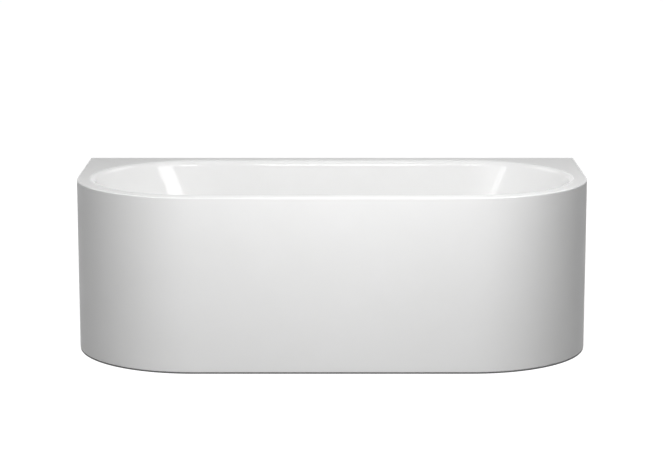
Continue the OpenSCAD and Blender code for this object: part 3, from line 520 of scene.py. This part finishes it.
def on_fillet(x, share, off):
    """A point outside the fillet under the front wall."""
    u, v = fillet_point(SIDE_LEAN, SIDE_FILLET, (1 - share) * (math.pi / 2 - SIDE_LEAN), off)
    return Vector((x, u - OPEN_B, BATH_H + v))


# Materials

# What every noise shares, and how much finer a finish's wear is than its grain
NOISE_ROUGHNESS = 0.55
NOISE_LOW, NOISE_HIGH = 0.35, 0.65
WEAR_SCALE = 2.7


def node_material(name):
    """A new material with its node tree and its shader."""
    material = bpy.data.materials.new(name)
    material.use_nodes = True
    tree = material.node_tree
    shader = next(n for n in tree.nodes if n.type == "BSDF_PRINCIPLED")
    return material, tree, shader


def place_node(tree, scale=(1, 1, 1)):
    """Coordinates in metres on the piece, stretched by scale."""
    coords = tree.nodes.new("ShaderNodeTexCoord")
    mapping = tree.nodes.new("ShaderNodeMapping")
    mapping.inputs["Scale"].default_value = scale
    tree.links.new(coords.outputs["Object"], mapping.inputs["Vector"])
    return mapping.outputs["Vector"]


def noise_node(tree, vector, scale, detail=4):
    noise = tree.nodes.new("ShaderNodeTexNoise")
    noise.inputs["Scale"].default_value = scale
    noise.inputs["Detail"].default_value = detail
    noise.inputs["Roughness"].default_value = NOISE_ROUGHNESS
    tree.links.new(vector, noise.inputs["Vector"])
    return noise.outputs["Fac"]


def cells_node(tree, vector, scale):
    """The distance from the nearest of a field of scattered points."""
    cells = tree.nodes.new("ShaderNodeTexVoronoi")
    cells.inputs["Scale"].default_value = scale
    tree.links.new(vector, cells.inputs["Vector"])
    return cells.outputs["Distance"]


def ramp_node(tree, value, *stops):
    """Colours between two stops of value, each a (position, colour) pair."""
    ramp = tree.nodes.new("ShaderNodeValToRGB")
    for element, (position, colour) in zip(ramp.color_ramp.elements, stops):
        element.position = position
        element.color = (*colour, 1)
    tree.links.new(value, ramp.inputs["Fac"])
    return ramp.outputs["Color"]


def range_node(tree, noise, low, high):
    """The span that a noise mostly keeps to, stretched from low to high."""
    ranged = tree.nodes.new("ShaderNodeMapRange")
    span = (("From Min", NOISE_LOW), ("From Max", NOISE_HIGH), ("To Min", low), ("To Max", high))
    for socket, number in span:
        ranged.inputs[socket].default_value = number
    tree.links.new(noise, ranged.inputs["Value"])
    return ranged.outputs["Result"]


def bump_node(tree, height, strength, distance):
    bump = tree.nodes.new("ShaderNodeBump")
    bump.inputs["Strength"].default_value = strength
    bump.inputs["Distance"].default_value = distance
    tree.links.new(height, bump.inputs["Height"])
    return bump.outputs["Normal"]


def wire(tree, shader, colour, roughness, normal):
    """Links the shader's sockets to what the other nodes give."""
    for socket, value in (("Base Color", colour), ("Roughness", roughness), ("Normal", normal)):
        tree.links.new(value, shader.inputs[socket])


def finish(name, colours, roughness, bump, grain, stretch=(1, 1, 1), fine=0, **constants):
    """A material whose colour and roughness wander with a noise of this grain, and whose surface
    has a bump of (grain, strength, depth in metres), with fine more levels of detail."""
    material, tree, shader = node_material(name)
    vector = place_node(tree, stretch)
    drift = noise_node(tree, vector, grain, 5)
    wear = noise_node(tree, vector, grain * WEAR_SCALE, 3)
    surface = noise_node(tree, vector, bump[0], 2 + fine)
    wire(tree, shader,
         ramp_node(tree, drift, (0.3, colours[0]), (0.7, colours[1])),
         range_node(tree, wear, *roughness),
         bump_node(tree, surface, *bump[1:]))
    for socket, number in constants.items():
        shader.inputs[socket.replace("_", " ")].default_value = number
    return material


def enamel(name, roughness, specular):
    """White vitreous enamel with its faint ripple."""
    return finish(name, ((0.885, 0.885, 0.88), (0.9, 0.9, 0.897)), roughness,
                  bump=(55, 0.04, 0.0005), grain=6, Specular_IOR_Level=specular)


def white_enamel():
    return enamel("white_enamel", (0.06, 0.1), 0.3)


def satin_enamel():
    return enamel("satin_enamel", (0.46, 0.54), 0.25)


def matt_enamel():
    return enamel("matt_enamel", (0.68, 0.76), 0.1)


def zinc_steel():
    return finish("zinc_steel", ((0.5, 0.52, 0.54), (0.68, 0.7, 0.72)), (0.28, 0.45),
                  bump=(900, 0.08, 0.0002), grain=60, stretch=(1, 1, 0.35), Metallic=1.0)


def chrome():
    return finish("chrome", ((0.82, 0.83, 0.84), (0.9, 0.9, 0.91)), (0.03, 0.1),
                  bump=(300, 0.02, 0.0001), grain=25, Metallic=1.0)


def stainless():
    return finish("stainless", ((0.6, 0.6, 0.61), (0.72, 0.72, 0.73)), (0.2, 0.34),
                  bump=(1500, 0.08, 0.0001), grain=120, stretch=(1, 1, 0.15), Metallic=1.0)


def brass():
    return finish("brass", ((0.58, 0.41, 0.16), (0.78, 0.6, 0.29)), (0.2, 0.38),
                  bump=(800, 0.06, 0.0001), grain=90, Metallic=1.0)


def black_rubber():
    return finish("black_rubber", ((0.04, 0.04, 0.042), (0.07, 0.07, 0.073)), (0.55, 0.8),
                  bump=(1400, 0.25, 0.0002), grain=80, fine=3)


def seal_rubber():
    """The greyer rubber of the seal on the floor."""
    return finish("seal_rubber", ((0.11, 0.11, 0.112), (0.15, 0.15, 0.153)), (0.5, 0.7),
                  bump=(1400, 0.2, 0.0002), grain=80, fine=3)


def grey_foam():
    material, tree, shader = node_material("grey_foam")
    vector = place_node(tree)
    cells = cells_node(tree, vector, 900)
    wire(tree, shader,
         ramp_node(tree, cells, (0.0, (0.62, 0.62, 0.61)), (0.7, (0.8, 0.8, 0.79))),
         range_node(tree, noise_node(tree, vector, 300), 0.75, 0.95),
         bump_node(tree, cells, 0.5, 0.0006))
    return material


def bitumen():
    """Sound-deadening sheet with a fine pressed diamond grain."""
    material, tree, shader = node_material("bitumen")
    vector = place_node(tree)
    wave = tree.nodes.new("ShaderNodeTexWave")
    wave.bands_direction = "DIAGONAL"
    wave.inputs["Scale"].default_value = 70
    tree.links.new(vector, wave.inputs["Vector"])
    grit = noise_node(tree, vector, 700)
    wire(tree, shader,
         ramp_node(tree, grit, (0.3, (0.03, 0.03, 0.034)), (0.75, (0.1, 0.1, 0.108))),
         range_node(tree, grit, 0.6, 0.85),
         bump_node(tree, wave.outputs["Fac"], 0.35, 0.0006))
    return material


def white_plastic():
    return finish("white_plastic", ((0.79, 0.79, 0.77), (0.84, 0.84, 0.82)), (0.28, 0.4),
                  bump=(1100, 0.08, 0.0001), grain=20)


def grey_plastic():
    return finish("grey_plastic", ((0.1, 0.104, 0.112), (0.15, 0.155, 0.165)), (0.42, 0.6),
                  bump=(1800, 0.25, 0.00015), grain=60, fine=2)


def foot_plastic():
    return finish("foot_plastic", ((0.15, 0.155, 0.17), (0.21, 0.215, 0.23)), (0.4, 0.58),
                  bump=(1600, 0.2, 0.00015), grain=70, fine=2)


def hose_plastic():
    return finish("hose_plastic", ((0.68, 0.68, 0.67), (0.78, 0.78, 0.76)), (0.35, 0.5),
                  bump=(900, 0.08, 0.0001), grain=45)


def cable_sheath():
    return finish("cable_sheath", ((0.03, 0.03, 0.033), (0.055, 0.055, 0.06)), (0.35, 0.5),
                  bump=(1200, 0.12, 0.0001), grain=50)


def ground_coat():
    """The dark enamel under the white one, with its overspray of pale specks."""
    material, tree, shader = node_material("ground_coat")
    vector = place_node(tree)
    speck = tree.nodes.new("ShaderNodeMath")
    speck.operation = "LESS_THAN"
    tree.links.new(cells_node(tree, vector, 420), speck.inputs[0])
    tree.links.new(range_node(tree, noise_node(tree, vector, 9, 3), 0.06, 0.34), speck.inputs[1])
    wire(tree, shader,
         ramp_node(tree, speck.outputs["Value"], (0.0, (0.035, 0.04, 0.052)), (1.0, (0.33, 0.34, 0.36))),
         range_node(tree, noise_node(tree, vector, 60), 0.25, 0.45),
         bump_node(tree, noise_node(tree, vector, 160), 0.2, 0.0006))
    return material


# Each material is made once, when a piece first asks for it
FINISHES = {make.__name__: functools.cache(make) for make in (
    white_enamel, satin_enamel, matt_enamel, zinc_steel, chrome, stainless, brass, black_rubber,
    seal_rubber, grey_foam, bitumen, white_plastic, grey_plastic, foot_plastic, hose_plastic,
    cable_sheath, ground_coat)}

# Nodes with a look of their own
NODE_LOOKS = {"floor_seal": "seal_rubber"}


def dress_nodes(frame):
    """Gives every CAD node the material of its slot, or its own look."""
    for row in frame["record"]["subparts"]:
        node = frame["nodes"][row["node"]]
        look = NODE_LOOKS.get(row["node"], row["material_slot"])
        for place in node.material_slots:
            place.material = FINISHES[look]()


# Pieces

def tub():
    """Rim, flange and basin as one pressed sheet, white above and ground coat beneath."""
    bend = 1 * MM
    flange_in = LAP + SHELL_T
    below = list(reversed(basin_rings(SHELL_T)))
    inner_bend = [dee_ring(max(EDGE_R, flange_in + bend), -SHELL_T),
                  dee_ring(flange_in, -max(EDGE_R, SHELL_T + bend))]
    flange = [dee_ring(flange_in, FLANGE_Z - BATH_H),
              dee_ring(LAP, FLANGE_Z - BATH_H),
              dee_ring(LAP, -EDGE_R)]
    deck = [dee_ring(EDGE_R + SUPPORT, 0), oval_ring((-SUPPORT, 0), (-SUPPORT, 0))]
    drain = [round_ring(DRAIN_R, RECESS_Z), round_ring(DRAIN_R, RECESS_Z - SHELL_T)]
    dark = below + inner_bend + flange
    edge = edge_rings()
    verts, faces = bridge(dark + edge + deck + basin_rings(0) + drain, closed=True)
    dark_end = (len(dark) - 1) * len(STATIONS)
    deck_start = (len(dark) + len(edge) - 1) * len(STATIONS)
    deck_end = deck_start + (len(deck) + 1) * len(STATIONS)
    others = (("ground_coat", 0, dark_end), ("matt_enamel", deck_start, deck_end))
    piece = new_piece("tub_enamel", verts, faces, "white_enamel", others=others)
    cut_overflow(piece)
    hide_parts("tub_shell")


def cut_overflow(piece):
    """Cuts the overflow's hole through the front wall."""
    depth = 4 * SHELL_T
    circle = [(OVERFLOW_R * math.cos(a), OVERFLOW_R * math.sin(a)) for a in turn(64)]
    verts, faces = bridge([[(x, y, z) for x, y in circle] for z in (-depth, depth)])
    mesh = bpy.data.meshes.new("overflow_cutter")
    mesh.from_pydata(verts, [], faces)
    face_up(mesh)
    cutter = bpy.data.objects.new("overflow_cutter", mesh)
    bpy.context.scene.collection.objects.link(cutter)
    cutter.matrix_world = overflow_matrix()
    cut = piece.modifiers.new("cut", "BOOLEAN")
    cut.operation = "DIFFERENCE"
    cut.object = cutter
    cut.solver = "EXACT"
    apply_modifiers(piece)
    bpy.data.objects.remove(cutter)
    shade(piece.data)


def apply_modifiers(piece):
    bpy.context.view_layer.update()
    done = piece.evaluated_get(bpy.context.evaluated_depsgraph_get())
    mesh = bpy.data.meshes.new_from_object(done)
    piece.modifiers.clear()
    piece.data = mesh


def skirt():
    """The skirt's folded sheet: its hem, the flanges turned in at the wall and its threaded studs."""
    soft, inner = 0.6 * MM, 1 * MM
    bend = SKIRT_T + inner
    hem_top = SEAL_H + SKIRT_T
    bend_top = SEAL_H + bend
    section = [(0, SKIRT_TOP), (0, bend_top + SUPPORT)] + arc(bend, bend_top, bend, 180, 270)
    section += [(HEM_W - soft, SEAL_H), (HEM_W, SEAL_H + soft),
                (HEM_W, hem_top - soft), (HEM_W - soft, hem_top)]
    section += arc(bend, bend_top, inner, 270, 180)
    section += [(SKIRT_T, bend_top + SUPPORT), (SKIRT_T, SKIRT_TOP)]
    corner = [(0, bend)] + arc(bend, bend, bend, 180, 270)[1:]
    corner += [(RETURN_W, 0), (RETURN_W, SKIRT_T)] + arc(bend, bend, inner, 270, 180)
    stud = thread(SCREW_R, SCREW_GROOVE, SCREW_PITCH, STUD_L)
    parts = [dee_sweep(section, BATH_W / 2 - bend)]
    for side in (-1, 1):
        parts.append(bridge([[(side * (BATH_L / 2 - u), BATH_W / 2 - v, z) for u, v in corner]
                             for z in (SEAL_H, SKIRT_TOP)]))
        on_end = shift(side * (BATH_L / 2 - SKIRT_T), STAY_Y, STUD_Z)
        on_front = shift(side * BAR_X, SKIRT_T - BATH_W / 2, STUD_Z)
        parts.append(moved(stud, on_end @ quarter_turn("Y", -side)))
        parts.append(moved(stud, on_front @ quarter_turn("X", -1)))
    piece = new_piece("skirt_enamel", *joined(*parts), "white_enamel", look="satin_enamel")
    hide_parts("skirt_panel")


def waste_cover():
    """The white domed cover over the drain."""
    edge_r, top_r = 0.6 * MM, 0.8 * MM
    shoulder, rise = 3 * MM, 1.2 * MM
    rim = PLUG_R - top_r
    profile = [(0, 0)] + arc(PLUG_R - edge_r, edge_r, edge_r, 270, 360)
    profile += arc(rim, shoulder - top_r, top_r, 0, 90) + dome(rim, shoulder, rise, steps=16)
    part = moved(lathe(profile, ROUND_STEPS), shift(0, 0, COVER_Z))
    piece = new_piece("waste_cover", *part, "white_enamel", body="cover")
    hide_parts("waste_plug")


def waste_ring():
    """The bright flange in the drain, with a threaded neck, three arms and a guide for the stem."""
    low = -NECK_L
    part = moved(joined(ring_body(low), *ring_arms(low)), shift(0, 0, FLANGE_TOP))
    piece = new_piece("waste_ring", *part, "chrome")
    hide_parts("waste_flange")


def ring_body(low):
    """The flange and its threaded neck, turned."""
    threads, groove, chamfer = 16, 0.7 * MM, 0.8 * MM
    first, last = low + chamfer, -FLANGE_T - 3 * MM
    rim_r, lip_r = 1.6 * MM, 0.8 * MM
    lip = PLUG_R - 4 * MM
    profile = [(THROAT_R, low), (NECK_R - chamfer, low)]
    for i in range(threads + 1):
        z = first + i * (last - first) / threads
        profile += [(NECK_R, z), (NECK_R - groove, z + groove)]
    profile += [(NECK_R, -FLANGE_T), (FLANGE_R, -FLANGE_T)]
    profile += arc(FLANGE_R - rim_r, -rim_r, rim_r, 0, 90, steps=8)
    profile += arc(lip + lip_r, -lip_r, lip_r, 90, 150, steps=4)
    profile += [(THROAT_R + 0.3 * MM, -6 * MM), (THROAT_R, -6.4 * MM)]
    return lathe(profile, ROUND_STEPS)


def ring_arms(low):
    """The guide of the cover's stem and the three arms that hold it."""
    bore, hub, height, soft = 4.05 * MM, 7 * MM, 6 * MM, 0.5 * MM
    top = low + height
    parts = [lathe([(bore, low), (hub, low), (hub, top - soft), (hub - soft, top),
                    (bore + 0.35 * MM, top), (bore, top - 0.4 * MM)], steps=48)]
    arm_w, arm_h, arm_cut = 3 * MM, height - 1 * MM, 0.36 * MM
    for direction in (30, 150, 270):
        ray = Vector((*way(direction), 0))
        arm = bar((hub - 1 * MM) * ray, (THROAT_R + 0.6 * MM) * ray, arm_w, arm_h, arm_cut)
        parts.append(moved(arm, shift(0, 0, low)))
    return parts


def notched(x, y, z):
    """A point of the knob, drawn in where it lies in the finger notch at either side."""
    middle_r, flat_top = 0.8 * KNOB_R, 0.8 * KNOB_T
    r = math.hypot(x, y)
    if r < middle_r:
        return x, y, z
    across = NOTCH_AT * abs(y) / r
    if across >= NOTCH_R:
        return x, y, z
    flare = 0.6 * max(0, z - flat_top)
    wall = NOTCH_AT * abs(x) / r - math.sqrt(NOTCH_R ** 2 - across ** 2) - flare
    share = min(1, wall / r)
    return x * share, y * share, z


def knob():
    """The overflow's round knob, with a finger notch at each side and a hub over the spindle."""
    foot_r, edge_r, rise = 1 * MM, 2.4 * MM, 1 * MM
    rim = KNOB_R - 1.8 * MM
    profile = [(0, 0), (rim, 0)] + arc(KNOB_R - foot_r, foot_r, foot_r, 285, 360, steps=5)
    profile += arc(KNOB_R - edge_r, KNOB_T - edge_r, edge_r, 0, 80, steps=8)
    profile += dome(rim, KNOB_T, rise, steps=14)
    verts, faces = lathe(profile, steps=288)
    cap = moved(([notched(*v) for v in verts], faces), shift(0, 0, KNOB_Z))
    bore, hub_r, soft = 4 * MM, 8 * MM, 0.6 * MM
    low, top = 2.8 * MM, KNOB_Z + 0.2 * MM
    hub = lathe([(bore, low), (hub_r - soft, low), (hub_r, low + soft), (hub_r, top), (bore, top)],
                steps=64)
    part = moved(joined(cap, hub), overflow_matrix())
    piece = new_piece("knob_cap", *part, "white_enamel", body="knob")
    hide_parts("overflow_knob")


def foot_stems():
    """The screwed stems of the four feet, each with a hexagon for the spanner."""
    chamfer = 0.8 * MM
    shank_r = STEM_R - 0.2 * MM
    hex_z = FOOT_PAD_T + FOOT_PLATE_H + SOFT_GAP
    hex_h, hex_r = 1.5 * STEM_R, 1.9 * STEM_R
    socket_z = hex_z - SOCKET_D
    thread_z = hex_z + hex_h
    thread_l = BAR_TOP + FOOT_TRAVEL / 2 + STEM_SPARE - thread_z
    shank = lathe([(0, socket_z), (shank_r - chamfer, socket_z), (shank_r, socket_z + chamfer),
                   (shank_r, hex_z), (0, hex_z)], steps=32)
    screw = moved(thread(STEM_R, STEM_GROOVE, STEM_PITCH, thread_l), shift(0, 0, thread_z))
    part = joined(shank, hexagon(hex_r, hex_z, thread_z, chamfer), screw)
    for row, y in (("front", -FOOT_Y), ("rear", FOOT_Y)):
        for column, x in (("left", -BAR_X), ("right", BAR_X)):
            corner = row + "_" + column
            placed = moved(part, shift(x, y, 0))
            piece = new_piece("screw_stem_" + corner, *placed, "zinc_steel", body="stem_" + corner)
            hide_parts("foot_stem_" + corner)


# The hose is plain for this many ribs' length at each end, and its crests are blunter than a cosine's
CUFF_RIBS = 5
CREST_POWER = 0.7


def hose_radius(i, last):
    """The hose's radius at a point of its path, plain at both ends and ribbed between them."""
    cuff = CUFF_RIBS * RIB_STEPS
    if i <= cuff or i >= last - cuff:
        return HOSE_R
    crest = abs(math.cos(math.pi * i / RIB_STEPS)) ** CREST_POWER
    return HOSE_ROOT_R + (HOSE_R - HOSE_ROOT_R) * crest


def overflow_hose():
    """The ribbed hose from the overflow down the outside of the front wall to the waste."""
    outlet, inlet = 41 * MM, -BODY_R - 3 * MM
    seal, spigot = 2 * MM, 30 * MM
    gap, more_gap = 25.5 * MM, 8 * MM
    start = from_overflow(0, outlet + seal, -gap)
    lead = from_overflow(0, outlet + seal + spigot, -gap)
    end = Vector((0, inlet - seal, PORT_Z))
    end_lead = Vector((0, inlet - seal - spigot, PORT_Z))
    points = [on_wall(0, share, gap) for share in (0.45, 0.65, 0.85)]
    points += [on_fillet(0, share, gap + more_gap * share) for share in (0, 0.25, 0.5, 0.75, 1)]
    points.append(Vector((0, -0.72 * FLOOR_B, PORT_Z + 3 * MM)))
    route = [start] + smooth([lead] + points + [end_lead], steps=8) + [end]
    path = even(route, RIB_STEPS * HOSE_RIBS)
    outer = [hose_radius(i, len(path) - 1) for i in range(len(path))]
    hose = tube(path, outer, HOSE_BORE_R, steps=32)
    piece = new_piece("ribbed_hose", *hose, "hose_plastic", sharp_deg=60)
    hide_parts("overflow_hose")


def cable_path():
    """The cable's route: along the wall to the right, down it, and back under the floor."""
    port_x, drum_z = 34 * MM, -45.5 * MM
    out_x, far_off, near_off = 4 * port_x, -drum_z, -0.6 * drum_z
    start = from_overflow(port_x, DRUM_R, drum_z)
    end = Vector((BODY_R + 16 * MM, 0, ROD_Z))
    points = [from_overflow(share * out_x, y * MM, drum_z)
              for share, y in ((0.55, 12), (0.82, 36), (0.96, 78))]
    points += [on_wall(out_x, share, far_off + (near_off - far_off) * share)
               for share in (0.4, 0.6, 0.8)]
    points += [on_fillet(out_x, share, near_off + more * MM)
               for share, more in ((0, 0), (0.3, 0), (0.55, 6), (0.8, 20), (1, 34))]
    points += [Vector((share * out_x, back * FLOOR_B, ROD_Z - 1 * MM))
               for share, back in ((0.98, -0.6), (0.9, -0.32), (0.76, -0.12), (0.59, -0.02))]
    start_lead, end_lead = start + Vector((12 * MM, 0, 0)), end + Vector((14 * MM, 0, 0))
    return [start] + smooth([start_lead] + points + [end_lead], steps=10) + [end]


# A ferrule's section, as (share of the cable's radius, place along it)
FERRULE = ((1.02, 0.2 * MM), (1.45, 0.2 * MM), (1.5, 0.5 * MM), (1.5, 5 * MM), (1.3, 5.6 * MM),
           (1.3, 6.4 * MM), (1.42, 7 * MM), (1.42, 8.4 * MM), (1.12, 11 * MM), (1.02, 11 * MM))


def control_cable():
    """The cable from the knob's drive to the waste, in a plain sheath with a ferrule at each end."""
    path = cable_path()
    start, end = path[0], path[-1]
    sheath = tube(path, [CABLE_R] * len(path), 0.4 * CABLE_R, steps=20)
    piece = new_piece("cable_sheath", *sheath, "cable_sheath")
    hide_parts("control_cable")
    ferrule = lathe([(share * CABLE_R, z) for share, z in FERRULE], steps=40)
    both = [moved(ferrule, shift(*at) @ quarter_turn("Y", 1)) for at in (start, end)]
    ferrules = new_piece("cable_ferrules", *joined(*both), "grey_plastic")


# Scene

CAMERA_AT = (0.0017, -7.1428, 1.7794)
CAMERA_TILT = math.radians(78.884)
CAMERA_LENS = 117.341
SENSOR_W = 36
FLOOR_SIZE = 30
FLOOR_DROP = 0.2 * MM


def camera():
    data = bpy.data.cameras.new("camera")
    data.lens = CAMERA_LENS
    data.sensor_width = SENSOR_W
    data.dof.use_dof = False
    eye = bpy.data.objects.new("camera", data)
    eye.location = CAMERA_AT
    eye.rotation_euler = (CAMERA_TILT, 0, 0)
    bpy.context.scene.collection.objects.link(eye)
    bpy.context.scene.camera = eye


def seen_directly(tree):
    """1 for camera, glossy and transmission rays, 0 for the rays that light the object."""
    path = tree.nodes.new("ShaderNodeLightPath")
    total = path.outputs["Is Camera Ray"]
    for ray in ("Is Glossy Ray", "Is Transmission Ray"):
        larger = tree.nodes.new("ShaderNodeMath")
        larger.operation = "MAXIMUM"
        tree.links.new(total, larger.inputs[0])
        tree.links.new(path.outputs[ray], larger.inputs[1])
        total = larger.outputs["Value"]
    return total


def show_or_light(tree, shown, lighting, out):
    """Sends one shader to the rays that see it and another to the rays that light the object."""
    mix = tree.nodes.new("ShaderNodeMixShader")
    tree.links.new(seen_directly(tree), mix.inputs["Fac"])
    tree.links.new(lighting, mix.inputs[1])
    tree.links.new(shown, mix.inputs[2])
    tree.links.new(mix.outputs["Shader"], out.inputs["Surface"])


def world(strength):
    """A white surround that lights the object at a lower level than it shows."""
    room = bpy.data.worlds.new("studio")
    bpy.context.scene.world = room
    room.use_nodes = True
    tree = room.node_tree
    tree.nodes.clear()
    fill = tree.nodes.new("ShaderNodeBackground")
    fill.inputs["Strength"].default_value = strength
    white = tree.nodes.new("ShaderNodeBackground")
    white.inputs["Strength"].default_value = 1
    for background in (fill, white):
        background.inputs["Color"].default_value = (1, 1, 1, 1)
    out = tree.nodes.new("ShaderNodeOutputWorld")
    show_or_light(tree, white.outputs["Background"], fill.outputs["Background"], out)


def diffuse_node(tree, grey):
    paint = tree.nodes.new("ShaderNodeBsdfDiffuse")
    paint.inputs["Color"].default_value = (grey, grey, grey, 1)
    return paint.outputs["BSDF"]


def floor_paint(seen, bounced, glow):
    material = bpy.data.materials.new("floor_paint")
    material.use_nodes = True
    tree = material.node_tree
    tree.nodes.clear()
    light = tree.nodes.new("ShaderNodeEmission")
    light.inputs["Strength"].default_value = glow
    both = tree.nodes.new("ShaderNodeAddShader")
    tree.links.new(diffuse_node(tree, seen), both.inputs[0])
    tree.links.new(light.outputs["Emission"], both.inputs[1])
    out = tree.nodes.new("ShaderNodeOutputMaterial")
    show_or_light(tree, both.outputs["Shader"], diffuse_node(tree, bounced), out)
    return material


def floor(seen, bounced, glow):
    """A plain pale floor that shows white where it is lit and keeps the object's shadow. It throws
    less light back at the object than it shows."""
    corners = [(-1, -1), (1, -1), (1, 1), (-1, 1)]
    mesh = bpy.data.meshes.new("floor")
    mesh.from_pydata([(x * FLOOR_SIZE, y * FLOOR_SIZE, 0) for x, y in corners], [], [(0, 1, 2, 3)])
    plane = bpy.data.objects.new("floor", mesh)
    bpy.context.scene.collection.objects.link(plane)
    plane.location.z = -FLOOR_DROP
    plane.data.materials.append(floor_paint(seen, bounced, glow))


def softbox(name, at, width, height, power, role="both"):
    """An area lamp that faces the bath. It lights the object, shows in its shiny faces, or both."""
    data = bpy.data.lights.new(name, "AREA")
    data.shape = "RECTANGLE"
    data.size = width
    data.size_y = height
    data.energy = power
    lamp = bpy.data.objects.new(name, data)
    lamp.visible_diffuse = role != "shows"
    lamp.visible_glossy = role != "lights"
    lamp.location = at
    lamp.rotation_euler = (Vector(BATH_MIDDLE) - Vector(at)).to_track_quat("-Z", "Y").to_euler()
    bpy.context.scene.collection.objects.link(lamp)


BATH_MIDDLE = (0, -0.2, 0.35)

# Name, place, width and height in metres, and power in watts. A lamp that only shows is seen in
# reflections and lights nothing: the cards make the two bright bands in the basin, and the edge
# lamps the line along the rim.
LAMPS = (
    ("front_left", (-1.732, -3.2, 2.35), 1.6, 1.4, 13.6),
    ("right_high", (2.004, -1.357, 3.108), 1.4, 1.2, 18.2),
    ("left", (-2.6, -2.2, 1.0), 1.2, 1.0, 7.5),
    ("top", (0, -0.1, 3.6), 2.4, 1.6, 15),
    ("key", (0.05, -1.9, 1.5), 0.8, 0.6, 19.8),
    ("near", (0.35, -1.2, 1.6), 0.6, 0.4, 4),
    ("back_low", (0, 3.4, 0.4), 2.6, 0.5, 50, "lights"),
    ("back_high", (0, 2.6, 1.9), 2.4, 1.0, 4, "lights"),
    ("right_card", (2.63, -3.22, 1.56), 1.5, 2.0, 69, "shows"),
    ("left_card", (-2.98, -2.88, 1.56), 0.65, 2.0, 21, "shows"),
    ("left_edge", (-2.3, 2.1, 3.1), 2.6, 2.0, 36, "shows"),
    ("right_edge", (2.3, 2.1, 3.1), 2.6, 2.0, 50, "shows"),
)


def studio():
    scene = bpy.context.scene
    scene.view_settings.view_transform = "Standard"
    camera()
    world(strength=0.2)
    floor(seen=0.2, bounced=0.25, glow=0.97)
    for lamp in LAMPS:
        softbox(*lamp)


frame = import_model()
studio()
overflow_hose()
control_cable()
dress_nodes(frame)
tub()
skirt()
waste_cover()
waste_ring()
knob()
foot_stems()
